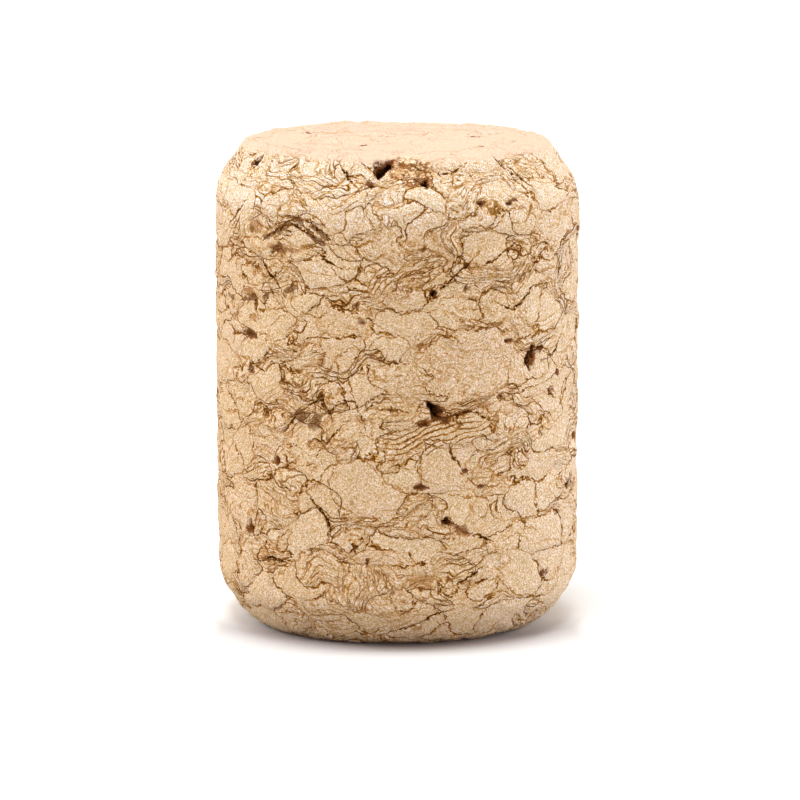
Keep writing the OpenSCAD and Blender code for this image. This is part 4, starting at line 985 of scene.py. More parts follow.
def crumb_pits():
    """Small shallow pits in an oval spiral over the broken edge, even in area."""
    for i in range(1, CRUMBS + 1):
        ring, swing = math.sqrt(i / CRUMBS), 2 * math.pi * i * GOLDEN_STEP
        azimuth = BREAK_AT[0] + BREAK_REACH[0] * ring * math.cos(swing)
        height = BREAK_AT[1] + BREAK_REACH[1] * ring * math.sin(swing)
        yield (azimuth, float(run_at_height(height)), drawn(i, *CRUMB_LENGTH), drawn(i + 5, *CRUMB_WIDTH),
               drawn(i + 9, *CRUMB_DEPTH), CRUMB_CORNERS, i * CRUMB_TURN)


def far_pits():
    """Pits of the far side, mostly small: the length grows with the cube of its chance."""
    for i in range(1, FAR_PITS + 1):
        azimuth, height = scattered(i, *FAR_PIT_PLACES)
        length = FAR_PIT_LENGTH[0] + (FAR_PIT_LENGTH[1] - FAR_PIT_LENGTH[0]) * drawn(i, 0, 1) ** 3
        yield (azimuth, float(run_at_height(height)), length, length * drawn(i + 3, *FAR_PIT_SLIM),
               FAR_PIT_DEPTH[0] + FAR_PIT_DEPTH[1] * length, FAR_PIT_CORNERS[i % 3], i * FAR_PIT_TURN)


def face_pits():
    """A pit on the upper face and a larger one under it on the lower face, several times."""
    near, far = FACE_PIT_RADIUS
    upper_depth, lower_depth = FACE_PIT_DEPTHS
    for i in range(1, FACE_PAIRS + 1):
        azimuth = FACE_PIT_START + i * AROUND_TURN * GOLDEN_STEP
        radius = near + (far - near) * fraction(i * SCATTER_STEP[0])
        length = drawn(i, *FACE_PIT_LENGTH)
        rest = FACE_PIT_CORNERS, i * FACE_PIT_TURN
        yield azimuth, radius, length, FACE_PIT_SLIM * length, upper_depth, *rest
        length *= LOWER_PIT_GAIN
        yield azimuth + LOWER_PIT_SHIFT, RUN_END - radius, length, FACE_PIT_SLIM * length, lower_depth, *rest


def all_pits():
    """Rows of azimuth, run, length, width, depth, corners, turn: the front's, the crumbs of the broken
    edge, those of the far side and those of both end faces."""
    front = [(azimuth, float(run_at_height(height)), *rest) for azimuth, height, *rest in FRONT_PITS]
    return [*front, *crumb_pits(), *far_pits(), *face_pits()]


def pit_rim(points, row):
    """Distance outside a pit's rim, negative inside, and the depth below the skin. The rim lies at half
    the size times 1 + 0.24 cos(corners * a) + 0.07 sin(5a), made ragged by a ripple. With q the share
    of the way out to it, the bottom sinks as 1 - q^2."""
    azimuth, run, length, width, depth, corners, turn = row
    along, across = laid_on(points, azimuth, run, turn)
    u, v = along / length, across / width
    a = np.arctan2(v, u)
    uneven = PIT_RIPPLE * np.sin(RIPPLE_CORNERS * a) + RAGGED * ripple(points, RAGGED_WAVE, SEED + 30)
    share = np.hypot(u, v) / (0.5 * (1 + CORNER_REACH * np.cos(corners * a) + uneven))
    return np.hypot(along, across) * (1 - 1 / np.maximum(share, 1e-3)), depth * np.clip(1 - share ** 2, 0, 1)


# ----------------------------------------
# The relief of the skin, in millimetres
# ----------------------------------------

# Borders between granules wander by this much, in waves of (wavelength, share, seed).
GRAIN_WARP = 0.45
WARP_WAVES = ((2.6, 1.0, 10), (0.9, 0.2, 20))

OUT_OF_ROUND = 0.05
OUT_OF_ROUND_WAVE = 8
LEVEL_SPREAD = 0.07
LEVEL_RISE = 0.25
BORDER_DIP = 0.07
BORDER_DIP_WIDTH = 0.12
FINE_RIPPLES = ((0.03, 1.2, 4), (0.02, 0.6, 5))     # height, wavelength, seed
LINE_DIP = 1.2
LINE_DIP_WIDTH = 0.13

# The broken place, in shares of its reach, then the distances in front of the axis that bound it.
BREAK_SPREAD = (1.25, 1.8)
BREAK_FADE = (0.6, 1.2)
BREAK_FRONT = (8.4, 9.4)
BREAK_DIP = 0.06
BREAK_WAVE = 0.7

# Distances from a pit's rim are kept up to RIM_LIMIT. Faces deeper in a pit than SHALLOW stay flat.
RIM_LIMIT = 0.5
SHALLOW = 0.08

# How the tinted places fade, and where the front, with its listed lines, gives way to the far side.
TINT_WAVE = 0.8
TINT_RAGGED = 0.25
TINT_FADE = (0.5, 1.3)
TINT_MARGIN = 0.5
FRONT_FADE = (54, 70)


def warped(points):
    """Points moved by smooth noise in all three directions, so that borders wander."""
    moves = [sum(share * ripple(points, wavelength, SEED + seed + axis)
                 for wavelength, share, seed in WARP_WAVES) for axis in range(3)]
    return points + GRAIN_WARP * np.stack(moves, -1)


def brokenness(points):
    """1 in the crumbled place of the upper edge, and 0 away from it and on the upper face."""
    aside = (azimuth_of(points) - BREAK_AT[0]) / (BREAK_SPREAD[0] * BREAK_REACH[0])
    above = (points[:, 2] - BREAK_AT[1]) / (BREAK_SPREAD[1] * BREAK_REACH[1])
    return (1 - smooth_step(np.hypot(aside, above), *BREAK_FADE)) * smooth_step(-points[:, 1], *BREAK_FRONT)


def standing(points, placed, granules, lines, broken):
    """How far the skin stands out before its pits are sunk. Granules have levels of their own and dip
    along their borders, fine ripples run over them, every line is a dip, and the broken edge is rough."""
    near = granules.nearest(placed, 2)
    distance = granules.field(placed, near)[0]
    gap = 0.5 * (distance[:, 1] - distance[:, 0])
    level = np.random.default_rng(SEED + 2).uniform(-LEVEL_SPREAD, LEVEL_SPREAD, len(granules.tone))
    out = OUT_OF_ROUND * ripple(points, OUT_OF_ROUND_WAVE, SEED + 3)
    out += level[near[:, 0]] * smooth_step(gap, 0, LEVEL_RISE) - BORDER_DIP * bell(gap, BORDER_DIP_WIDTH)
    for height, wavelength, seed in FINE_RIPPLES:
        out += height * ripple(points, wavelength, SEED + seed)
    for line in lines:
        index = line.near(points)
        sample, away = line.nearest(points[index])
        dip = LINE_DIP * line.darkness * line.half * line.taper[sample]
        out[index] -= dip * bell(away, LINE_DIP_WIDTH)
    return out - BREAK_DIP * broken * (0.5 + 0.5 * ripple(points, BREAK_WAVE, SEED + 6))


def hollows(points, pits):
    """At each point the distance outside the nearest rim, how deep that pit is, and how deep the point
    itself lies in a pit."""
    rim = np.full(len(points), RIM_LIMIT)
    bottom, sunk = np.zeros((2, len(points)))
    for row in pits:
        azimuth, run, length, _, depth, _, _ = row
        index = within(points, azimuth, run, length + RIM_LIMIT)
        outside, down = pit_rim(points[index], row)
        bottom[index] = np.where(outside < rim[index], depth, bottom[index])
        rim[index] = np.minimum(rim[index], outside)
        sunk[index] = np.maximum(sunk[index], down)
    return rim, bottom, sunk


def tint_of(points):
    """Grey bark, orange rust, and how far each point belongs to the far side."""
    tint = np.zeros((len(points), 3))
    wander = TINT_RAGGED * ripple(points, TINT_WAVE, SEED + 7)
    for azimuth, height, long, wide, tilt, *strengths in TINTS:
        run = run_at_height(height)
        index = within(points, azimuth, run, 2 * long + TINT_MARGIN)
        along, across = laid_on(points[index], azimuth, run, tilt)
        mask = 1 - smooth_step(np.hypot(along / long, across / wide) + wander[index], *TINT_FADE)
        tint[index, :2] = np.maximum(tint[index, :2], mask[:, None] * strengths)
    tint[:, 2] = smooth_step(np.abs(azimuth_of(points)), *FRONT_FADE)
    return tint


# ----------------------------------------
# The skin as a mesh, and what its material reads from it
# ----------------------------------------

POLE_GAP = 0.4

# The least slope that a border's distance is divided by, and how much further on each granule starts
# its growth lines than the one before.
LEAST_SLOPE = 0.2
PHASE_STEP = 3.7

# A face's three nearest granules are a, b and c, and these are the borders between them.
BORDER_PAIRS = ("ab", "ac", "bc")

# The layout for baking, in millimetres on a square sheet: the side as one strip, and above it the end
# faces out to DISC_EDGE as discs.
BAKE_SIDE = 75.4
BAKE_MARGIN = 0.3
DISC_EDGE = 10.0
DISC_MARGIN = 1.0
DISC_STEP = 23.0


def placed_object(name, data):
    """A new object of the scene."""
    thing = bpy.data.objects.new(name, data)
    bpy.context.scene.collection.objects.link(thing)
    return thing


class Grid:
    """The faces of the skin: quads between its rings and a fan round each pole. For every corner it
    knows the point, the face, the ring and the column, which runs on to COLUMNS where the skin closes."""

    def __init__(self, rings):
        ring, column = np.divmod(np.arange((rings - 1) * COLUMNS), COLUMNS)
        quad_ring = np.stack([ring, ring + 1, ring + 1, ring], -1)
        quad_column = np.stack([column, column, column + 1, column + 1], -1)
        self.quads = quad_ring * COLUMNS + quad_column % COLUMNS
        here = np.arange(COLUMNS)
        ahead = (here + 1) % COLUMNS
        upper_pole = np.full(COLUMNS, rings * COLUMNS)
        last = (rings - 1) * COLUMNS
        self.fans = np.vstack([np.stack([upper_pole, here, ahead], -1),
                               np.stack([upper_pole + 1, ahead + last, here + last], -1)])
        fan_ring = np.repeat([0, rings - 1], COLUMNS)
        self.corners = np.concatenate([self.quads.ravel(), self.fans.ravel()])
        self.owner = np.repeat(np.arange(len(self.quads) + len(self.fans)),
                               np.repeat([4, 3], [len(self.quads), len(self.fans)]))
        self.face_ring = np.concatenate([ring, fan_ring])
        self.corner_ring = np.concatenate([quad_ring.ravel(), np.repeat(fan_ring, 3)])
        self.corner_column = np.concatenate([quad_column.ravel(), np.zeros(self.fans.size, int)])

    def middles(self, values):
        """The mean of the values at the corners of each face."""
        total = np.zeros((self.owner[-1] + 1, 3))
        np.add.at(total, self.owner, values[self.corners])
        return total / np.bincount(self.owner)[:, None]


def line_fields(points, grid, lines):
    """For each face the nearest line: at its corners the signed distance to it, its half width and its
    darkness, and on the face the direction across it, times its crackle."""
    middle = grid.middles(points)
    closest = np.full(len(middle), LINE_REACH)
    chosen = np.full(len(middle), -1)
    for number, line in enumerate(lines):
        index = line.near(middle)
        away = line.nearest(middle[index])[1] - line.half
        better = away < closest[index]
        closest[index[better]] = away[better]
        chosen[index[better]] = number
    at_corner = np.tile([LINE_REACH, 0, 0], (len(grid.corners), 1))
    on_face = np.zeros((len(middle), 3))
    for number, line in enumerate(lines):
        mine = np.nonzero(chosen[grid.owner] == number)[0]
        if not len(mine):
            continue
        place = points[grid.corners[mine]]
        sample = line.nearest(place)[0]
        at_corner[mine, 0] = ((place - line.point[sample]) * line.side[sample]).sum(-1)
        at_corner[mine, 1] = line.half * line.taper[sample]
        at_corner[mine, 2] = line.darkness
        faces = np.nonzero(chosen == number)[0]
        on_face[faces] = line.crackle * line.side[line.nearest(middle[faces])[0]]
    return at_corner, on_face


def granule_fields(placed, outward, grid, granules):
    """For each face its three nearest granules a, b and c: at the corners the signed distances to the
    borders ab, ac and bc and the growth phases, and on the face the directions across those borders
    and the looks of the three. A border's distance is the difference of the two granules' distances
    over the length of its slope along the skin."""
    middle = grid.middles(placed)
    facing = grid.middles(outward)
    facing /= np.linalg.norm(facing, axis=1)[:, None]
    near = granules.nearest(middle, NEAREST)
    slope = granules.field(middle, near)[1]
    distance, _, across = granules.field(placed[grid.corners], near[grid.owner])
    gap, directions = [], []
    for one, other in ((0, 1), (0, 2), (1, 2)):
        rise = slope[:, other] - slope[:, one]
        rise -= facing * (rise * facing).sum(-1)[:, None]
        steep = np.maximum(np.linalg.norm(rise, axis=1), LEAST_SLOPE)
        gap.append((distance[:, other] - distance[:, one]) / steep[grid.owner])
        directions.append(rise / steep[:, None])
    phase = across / GROWTH_SPACING + PHASE_STEP * near[grid.owner]
    looks = [np.stack([granules.tone[number], granules.growth[number], fraction(number * GOLDEN_STEP)], -1)
             for number in near.T]
    return np.stack(gap, -1), phase, directions, looks


def bake_layout(grid, run, points):
    """UV of every corner: side and chamfers as one strip, each end face as a disc above it."""
    usable = BAKE_SIDE - 2 * BAKE_MARGIN
    corner_run, face_run = run[grid.corner_ring], run[grid.face_ring][grid.owner]
    strip = np.stack([BAKE_MARGIN + usable * grid.corner_column / COLUMNS,
                      BAKE_MARGIN + RUN_END - DISC_EDGE - corner_run], -1)
    disc = points[grid.corners, :2] + (DISC_EDGE + DISC_MARGIN, RUN_END)
    disc[corner_run > RUN_END / 2, 0] += DISC_STEP
    on_disc = np.minimum(face_run, RUN_END - face_run) < DISC_EDGE
    return np.where(on_disc[:, None], disc, strip) / BAKE_SIDE


def stopper_piece(granules, lines, pits):
    """The whole skin: rings of points from the upper middle to the lower, closed by a fan at each pole,
    each point moved out or in by the relief."""
    face_runs = np.linspace(POLE_GAP, FACE_EDGE, FACE_RINGS, endpoint=False)
    run = np.concatenate([face_runs, np.linspace(FACE_EDGE, RUN_END - FACE_EDGE, WALL_RINGS),
                          RUN_END - face_runs[::-1]])
    azimuth = np.interp(np.arange(COLUMNS), (0, *FINE_COLUMNS, COLUMNS), (-180, -FINE_HALF, FINE_HALF, 180))
    point, outward, _, _ = skin(azimuth[None, :], run[:, None])
    points = np.vstack([point.reshape(-1, 3), [[0, 0, BODY_H], [0, 0, 0]]])
    outward = np.vstack([outward.reshape(-1, 3), [[0, 0, 1], [0, 0, -1]]])
    grid = Grid(len(run))

    grain = warped(points)
    broken = brokenness(points)
    rim, bottom, sunk = hollows(points, pits)
    placed = points + outward * (standing(points, grain, granules, lines, broken) - sunk)[:, None]
    placed[:, 2] = np.maximum(placed[:, 2], 0)
    mesh = bpy.data.meshes.new("pressed_cork_body")
    mesh.from_pydata((placed / METRE).tolist(), [], grid.quads.tolist() + grid.fans.tolist())
    pitted = np.bincount(grid.owner, sunk[grid.corners] > SHALLOW) > 0
    mesh.polygons.foreach_set("use_smooth", ~pitted)

    gap, phase, directions, looks = granule_fields(grain, outward, grid, granules)
    at_line, across_line = line_fields(points, grid, lines)
    fields = [
        ("granule_gap", "CORNER", gap),
        ("growth_phase", "CORNER", phase),
        ("line", "CORNER", at_line),
        ("line_across", "FACE", across_line),
        *[("across_" + pair, "FACE", values) for pair, values in zip(BORDER_PAIRS, directions)],
        *[("look_" + letter, "FACE", values) for letter, values in zip("abc", looks)],
        ("hollow", "POINT", np.stack([rim, bottom, broken], -1)),
        ("tint", "POINT", tint_of(points)),
    ]
    for name, domain, values in fields:
        attribute = mesh.attributes.new(name, "FLOAT_VECTOR", domain)
        attribute.data.foreach_set("vector", values.astype(np.float32).ravel())
    layer = mesh.uv_layers.new(name="OFBake")
    layer.data.foreach_set("uv", bake_layout(grid, run, points).astype(np.float32).ravel())
    mesh.validate()
    mesh.update()
    return placed_object("cork_body", mesh)


# ----------------------------------------
# Shader nodes
# ----------------------------------------

MIDDLE = 0.5


class Nodes:
    """Short calls that add shader nodes to one tree and join them. Each gives back an output socket."""

    def __init__(self, tree):
        self.tree = tree
        tree.nodes.clear()

    def add(self, kind, sockets=(), **settings):
        """A node with its settings, whose inputs take a socket, a number or a colour."""
        node = self.tree.nodes.new(kind)
        for name, value in settings.items():
            setattr(node, name, value)
        for key, value in dict(sockets).items():
            self.feed(node.inputs[key], value)
        return node

    def feed(self, socket, value):
        if isinstance(value, bpy.types.NodeSocket):
            self.tree.links.new(value, socket)
        else:
            socket.default_value = value

    def math(self, operation, *values, clamp=False):
        return self.add("ShaderNodeMath", enumerate(values), operation=operation, use_clamp=clamp).outputs[0]

    def chain(self, operation, first, *others):
        """All the values taken together by one operation, two at a time."""
        for other in others:
            first = self.math(operation, first, other)
        return first

    def sum(self, *values):
        return self.chain("ADD", *values)

    def product(self, *values):
        return self.chain("MULTIPLY", *values)

    def most(self, *values):
        return self.chain("MAXIMUM", *values)

    def least(self, *values):
        return self.chain("MINIMUM", *values)

    def difference(self, value, other):
        return self.math("SUBTRACT", value, other)

    def size(self, value):
        return self.math("ABSOLUTE", value)

    def centred(self, value, factor):
        """A noise about 0, times factor."""
        return self.product(self.difference(value, MIDDLE), factor)

    def eased(self, value, middle, share, clamp=False):
        """Value drawn towards a middle, so that only a share of the difference stays."""
        return self.math("ADD", self.product(self.difference(value, middle), share), middle, clamp=clamp)

    def ramp(self, value, start, end, low=0.0, high=1.0):
        """Smooth step of value from start to end, between low and high."""
        sockets = {"Value": value, "From Min": start, "From Max": end, "To Min": low, "To Max": high}
        return self.add("ShaderNodeMapRange", sockets, interpolation_type="SMOOTHSTEP").outputs["Result"]

    def vector(self, operation, *values):
        node = self.add("ShaderNodeVectorMath", enumerate(values), operation=operation)
        return node.outputs["Value" if operation in ("DOT_PRODUCT", "LENGTH") else "Vector"]

    def scaled(self, vector, factor):
        node = self.add("ShaderNodeVectorMath", {0: vector, "Scale": factor}, operation="SCALE")
        return node.outputs["Vector"]

    def split(self, vector):
        return self.add("ShaderNodeSeparateXYZ", {0: vector}).outputs

    def joined(self, x, y, z):
        return self.add("ShaderNodeCombineXYZ", {0: x, 1: y, 2: z}).outputs[0]

    def position(self):
        return self.add("ShaderNodeTexCoord").outputs["Object"]

    def attribute(self, name):
        node = self.add("ShaderNodeAttribute", attribute_type="GEOMETRY", attribute_name=name)
        return node.outputs["Vector"]

    def noise(self, place, scale, detail, roughness, output="Fac", **more):
        sockets = {"Vector": place, "Scale": scale, "Detail": detail, "Roughness": roughness, **more}
        dimensions = "4D" if "W" in more else "3D"
        return self.add("ShaderNodeTexNoise", sockets, noise_dimensions=dimensions).outputs[output]

    def cells(self, place, scale, output="Color", feature="F1"):
        sockets = {"Vector": place, "Scale": scale}
        return self.add("ShaderNodeTexVoronoi", sockets, feature=feature).outputs[output]

    def blend(self, share, colour, other):
        """A colour mixed with another as far as share goes."""
        node = self.add("ShaderNodeMix", data_type="RGBA")
        one_in, other_in = [socket for socket in node.inputs if socket.type == "RGBA"]
        self.feed(node.inputs["Factor"], share)
        self.feed(one_in, colour)
        self.feed(other_in, other)
        return next(socket for socket in node.outputs if socket.type == "RGBA")

    def tinged(self, share, colour, gains):
        """A colour multiplied by gains as far as share goes."""
        return self.blend(share, colour, self.vector("MULTIPLY", colour, gains))


# ----------------------------------------
# The cork's material
#
# Colours are linear light. A tuple of two or four numbers whose name says what
# it goes by is a smooth step: from the first value of that to the second, and
# where there are two more, between those instead of 0 and 1.
# ----------------------------------------

CREAM = (0.71, 0.528, 0.322, 1)
PINK_CREAM = (0.705, 0.522, 0.334, 1)
TAN = (0.60, 0.385, 0.20, 1)
PALE = (0.95, 0.85, 0.70, 1)
FACE_CREAM = (0.69, 0.49, 0.35, 1)
SEAM_BROWN = (0.10, 0.028, 0.004, 1)
RUST = (0.42, 0.19, 0.055, 1)
BARK = (0.20, 0.085, 0.028, 1)
PIT_BROWN = (0.26, 0.09, 0.02, 1)
# Painted shade: near black at the bottom of pits and in the middles of gaping lines.
HOLLOW_SHADE = (0.03, 0.009, 0.002, 1)

# What the orange of stains and painted warm shade, the painted highlight on a line's raised lip and
# the painted light on the broken place multiply the colour under them by.
STAIN_AND_WARM_SHADE = (1.0, 0.68, 0.26)
LIP_HIGHLIGHT_GAIN = (1.33, 1.56, 2.05)
BREAK_PAINTED_LIGHT_GAIN = (1.35, 1.32, 1.24)

# The cork is matt and hardly mirrors.
ROUGHNESS = 0.9
MIRRORING = 0.02

# Noises, as cycles a millimetre, detail and roughness.
CRACKLE_NOISE = (3.0, 4.0, 0.62)
MOTTLE_NOISE = (1.5, 4.0, 0.68)
BROAD_NOISE = (0.5, 2.0, 0.5)
GRAIN_NOISE = (7.5, 1.0, 0.6)
FINE_NOISE = (12.0, 1.0, 0.6)
BEAD_NOISE = (3.2, 3.0, 0.6)
SWELL_NOISE = (1.9, 2.0, 0.6)

# Noises that follow the growth: cycles a millimetre along it, cycles a growth line across it, then
# detail and roughness.
GROWN_NOISE = (0.4, 1.6, 2.0, 0.6)
STREAK_NOISE = (0.7, 2.6, 2.0, 0.7)
FLECK_NOISE = (2.5, 6.0, 1.0, 0.6)
VEIN_NOISE = (0.7, 1.1, 2.0, 0.6)

# How far smooth noise and small chips move a line, in millimetres, and the chips' cells a millimetre.
CRACKLE = 0.26
JAG = 0.16
CHIPS = 4.5

# Painted light: paler towards the top and to the right, where more light falls. Calmer and of another
# cream on the upper face.
PAINTED_LIGHT_BY_HEIGHT = (26.0, 29.2, 0.0, 0.27)
PAINTED_LIGHT_BY_ASIDE = (3.0, 12.0, 0.0, 0.2)
CALM_BY_HEIGHT = (BODY_H - 0.5, BODY_H - 0.1, 1.0, 0.28)
FACE_BY_CALM = (1.0, 0.28, 0.0, 0.75)


class Spot:
    """What the cork's material goes by at each place: where that is, its noises, what the mesh says of
    it, and the granule that it belongs to."""

    def __init__(self, n):
        self.place = n.scaled(n.position(), METRE)
        self.aside, _, self.height = n.split(self.place)
        self.smooth = n.vector("SUBTRACT", n.noise(self.place, *CRACKLE_NOISE, "Color"), [MIDDLE] * 3)
        self.chipped = n.vector("SUBTRACT", n.cells(self.place, CHIPS), [MIDDLE] * 3)
        self.crackle = n.vector("ADD", n.scaled(self.smooth, CRACKLE), n.scaled(self.chipped, JAG))
        self.mottle = n.noise(self.place, *MOTTLE_NOISE)
        self.grain = n.noise(self.place, *GRAIN_NOISE)
        self.fine = n.noise(self.place, *FINE_NOISE)
        self.broad = n.noise(self.place, *BROAD_NOISE)
        self.beads = n.noise(self.place, *BEAD_NOISE)
        self.swell = n.noise(self.place, *SWELL_NOISE)
        self.calm = n.ramp(self.height, *CALM_BY_HEIGHT)
        self.bark, self.rust, self.far = n.split(n.attribute("tint"))
        self.rim, self.bottom, self.broken = n.split(n.attribute("hollow"))
        self.border, mine = winner(n, self.crackle)
        looks = [n.scaled(n.attribute("look_" + letter), share) for letter, share in zip("abc", mine)]
        look = n.vector("ADD", n.vector("ADD", looks[0], looks[1]), looks[2])
        self.tone, self.growth, self.chance = n.split(look)
        self.phase = n.vector("DOT_PRODUCT", n.attribute("growth_phase"), n.joined(*mine))

    def grown(self, n, along, across, detail, roughness):
        """A noise that changes slowly along the growth of a granule and fast across it."""
        return n.noise(n.scaled(self.place, along), 1.0, detail, roughness, W=n.product(self.phase, across))


def winner(n, crackle):
    """How far the nearest border between granules is, and shares of 0 or 1 that say which of the face's
    three granules a place belongs to. Granule a wins where ab and ac are above 0, and so on."""
    gap = n.split(n.attribute("granule_gap"))
    ab, ac, bc = (n.sum(gap[k], n.vector("DOT_PRODUCT", n.attribute("across_" + pair), crackle))
                  for k, pair in enumerate(BORDER_PAIRS))
    ba, ca, cb = (n.product(value, -1.0) for value in (ab, ac, bc))
    inside = n.least(ab, ac), n.least(ba, bc), n.least(ca, cb)
    return n.most(*inside), [n.math("GREATER_THAN", value, 0.0) for value in inside]


# Distances in millimetres from a line's middle: its dark core, its groove and its raised lip.
SEAM_CORE = (0.03, 0.06)
FIBRE_CORE = (0.025, 0.05)
SEAM_GROOVE = 0.14
FIBRE_GROOVE = 0.1
LIP = (0.05, 0.1, 0.18)


def drawn_line(n, away, core, reach, shown):
    """Core, groove and lip of a line, from the distance to its middle and how strongly it shows."""
    dark = n.product(n.ramp(away, *core, 1.0, 0.0), shown)
    groove = n.product(n.ramp(away, 0.0, reach, 1.0, 0.0), shown)
    lip = n.least(n.ramp(away, LIP[0], LIP[1]), n.ramp(away, LIP[1], LIP[2], 1.0, 0.0))
    return dark, groove, n.product(lip, shown)


SEAM_BY_BROAD = (0.38, 0.56, 0.4, 1.0)
SEAM_BY_MOTTLE = (0.3, 0.55, 0.6, 1.0)
FAR_SEAM = 0.5


def seams(n, at):
    """Seams between granules, strong in places and faint in others, and less faint on the far side."""
    strength = n.most(n.ramp(at.broad, *SEAM_BY_BROAD), n.product(at.far, FAR_SEAM))
    strength = n.product(strength, n.ramp(at.mottle, *SEAM_BY_MOTTLE))
    return drawn_line(n, at.border, SEAM_CORE, SEAM_GROOVE, strength)


FIBRE_BY_GROWTH = (0.0, 0.6, 0.1, 1.0)
FIBRE_BY_BROAD = (0.38, 0.55, 0.5, 1.0)
FIBRE_BY_CHANCE = (0.2, 0.9, 0.2, 1.0)
BROAD_BEND = 2.4
MOTTLE_BEND = 0.4


def growth_lines(n, at):
    """Growth lines cross a granule one after the other, bent by noises, each as dark as chance has it."""
    bend = n.sum(n.centred(at.broad, BROAD_BEND), n.centred(at.mottle, MOTTLE_BEND))
    wave = n.sum(at.phase, bend)
    number = n.math("FLOOR", wave)
    dice = n.add("ShaderNodeTexWhiteNoise", {"W": number}, noise_dimensions="1D").outputs["Value"]
    away = n.product(n.size(n.difference(n.difference(wave, number), MIDDLE)), GROWTH_SPACING)
    fibrous = n.product(n.ramp(at.growth, *FIBRE_BY_GROWTH), n.ramp(at.broad, *FIBRE_BY_BROAD))
    return drawn_line(n, away, FIBRE_CORE, FIBRE_GROOVE, n.product(fibrous, n.ramp(dice, *FIBRE_BY_CHANCE)))


VEIN_BY_GROWTH = (0.0, 0.4, 0.25, 0.8)
VEIN_BY_MOTTLE = (0.35, 0.6, 0.5, 1.0)
VEIN_FADES = ((0.006, 0.03), (0.0, 0.07), (0.04, 0.12))     # core, groove and lip


def veins(n, at):
    """Core, groove and lip of thin lines where a noise that follows the growth passes one half."""
    away = n.size(n.difference(at.grown(n, *VEIN_NOISE), MIDDLE))
    veined = n.product(n.ramp(at.growth, *VEIN_BY_GROWTH), n.ramp(at.mottle, *VEIN_BY_MOTTLE))
    return [n.product(n.ramp(away, *fade, 1.0, 0.0), veined) for fade in VEIN_FADES]


LINE_BY_SWELL = (0.38, 0.72, 0.6, 1.5)
LINE_BY_MOTTLE = (0.3, 0.5, 0.6, 1.0)
CORE_INSET = 0.045
GAPE_BY_DARKNESS = (0.86, 0.94)
GAPE_BY_SWELL = (0.46, 0.56)
GAPE_BY_DISTANCE = (0.0, 0.03, 1.0, 0.0)
ECHO = 0.33
ECHO_BY_CRACKLE = (0.4, 0.8, 0.9, 0.0)


def listed_lines(n, at):
    """The listed lines, wide in places and narrow in others, a fainter echo on either side of those that
    hardly crackle, and how far the darkest ones gape."""
    distance, half, darkness = n.split(n.attribute("line"))
    across = n.attribute("line_across")
    distance = n.size(n.sum(distance, n.vector("DOT_PRODUCT", across, at.crackle)))
    half = n.product(half, n.ramp(at.swell, *LINE_BY_SWELL))
    outside = n.most(n.difference(distance, n.difference(half, CORE_INSET)), 0.0)
    gape = n.product(n.ramp(darkness, *GAPE_BY_DARKNESS), n.ramp(outside, *GAPE_BY_DISTANCE),
                     n.ramp(at.swell, *GAPE_BY_SWELL))
    darkness = n.product(darkness, n.ramp(at.mottle, *LINE_BY_MOTTLE))
    line = drawn_line(n, outside, SEAM_CORE, SEAM_GROOVE, darkness)
    echoed = n.product(darkness, n.ramp(n.vector("LENGTH", across), *ECHO_BY_CRACKLE))
    echo = drawn_line(n, n.size(n.difference(distance, ECHO)), FIBRE_CORE, FIBRE_GROOVE, echoed)
    return line, echo, gape


CORE_BY_BEADS = (0.35, 0.5, 0.8, 1.0)
BEAD_BY_BEADS = (0.6, 0.68)
BEAD_BY_GROOVE = (0.45, 0.85)
CORE_BY_HEIGHT = (26.0, 29.2, 1.0, 0.9)


def all_lines(n, at):
    """The strongest core, groove and lip of everything that draws a line, and where lines gape. Brown
    beads fill the grooves in places. Lips keep out of the grooves."""
    line, echo, gape = listed_lines(n, at)
    kinds = seams(n, at), line, echo, growth_lines(n, at), veins(n, at)
    core, groove, lip = (n.most(*parts) for parts in zip(*kinds))
    core = n.product(core, n.ramp(at.beads, *CORE_BY_BEADS))
    core = n.most(core, n.product(n.ramp(at.beads, *BEAD_BY_BEADS), n.ramp(groove, *BEAD_BY_GROOVE)))
    core = n.product(core, n.ramp(at.height, *CORE_BY_HEIGHT))
    return core, groove, n.product(lip, n.math("SUBTRACT", 1.0, groove, clamp=True)), gape


CRUMB_CHIPS = 2.4
CRUMB_WARP = 0.22
CRUMB_STRETCH = (1.0, 1.0, 1.5)
CRUMB_GAP_BY_EDGE = (0.03, 0.13, 1.0, 0.0)
CRUMB_GAP_BY_MOTTLE = (0.35, 0.55, 0.3, 1.0)
MISSING_BY_CHANCE = (0.8, 0.82)
MISSING_BY_BROKEN = (0.3, 0.6)


def crumbs(n, at):
    """The chips of the crumbled place: the gaps between them, where one is missing, and each one's
    chance."""
    loose = n.vector("ADD", at.place, n.scaled(at.smooth, CRUMB_WARP))
    loose = n.vector("MULTIPLY", loose, CRUMB_STRETCH)
    edge = n.cells(loose, CRUMB_CHIPS, "Distance", feature="DISTANCE_TO_EDGE")
    chance = n.split(n.cells(loose, CRUMB_CHIPS))[0]
    gap = n.product(n.ramp(edge, *CRUMB_GAP_BY_EDGE), at.broken, n.ramp(at.mottle, *CRUMB_GAP_BY_MOTTLE))
    missing = n.product(n.ramp(chance, *MISSING_BY_CHANCE), n.ramp(at.broken, *MISSING_BY_BROKEN))
    return gap, missing, chance


FACE_TONE = 0.6
TONE_SPREAD = 0.65
MOTTLE_TONE = 0.22
FLECK_TONE = 1.0
GROWN_TONE = 0.6
STREAK_TONE = 0.95
STREAK_BY_GROWTH = (0.0, 0.5, 0.5, 1.0)
CHIP_TONE = 1.2
# Painted light: how much paler the broken place is made, against its own shade.
CHIPS_PAINTED_LIGHT = 0.35


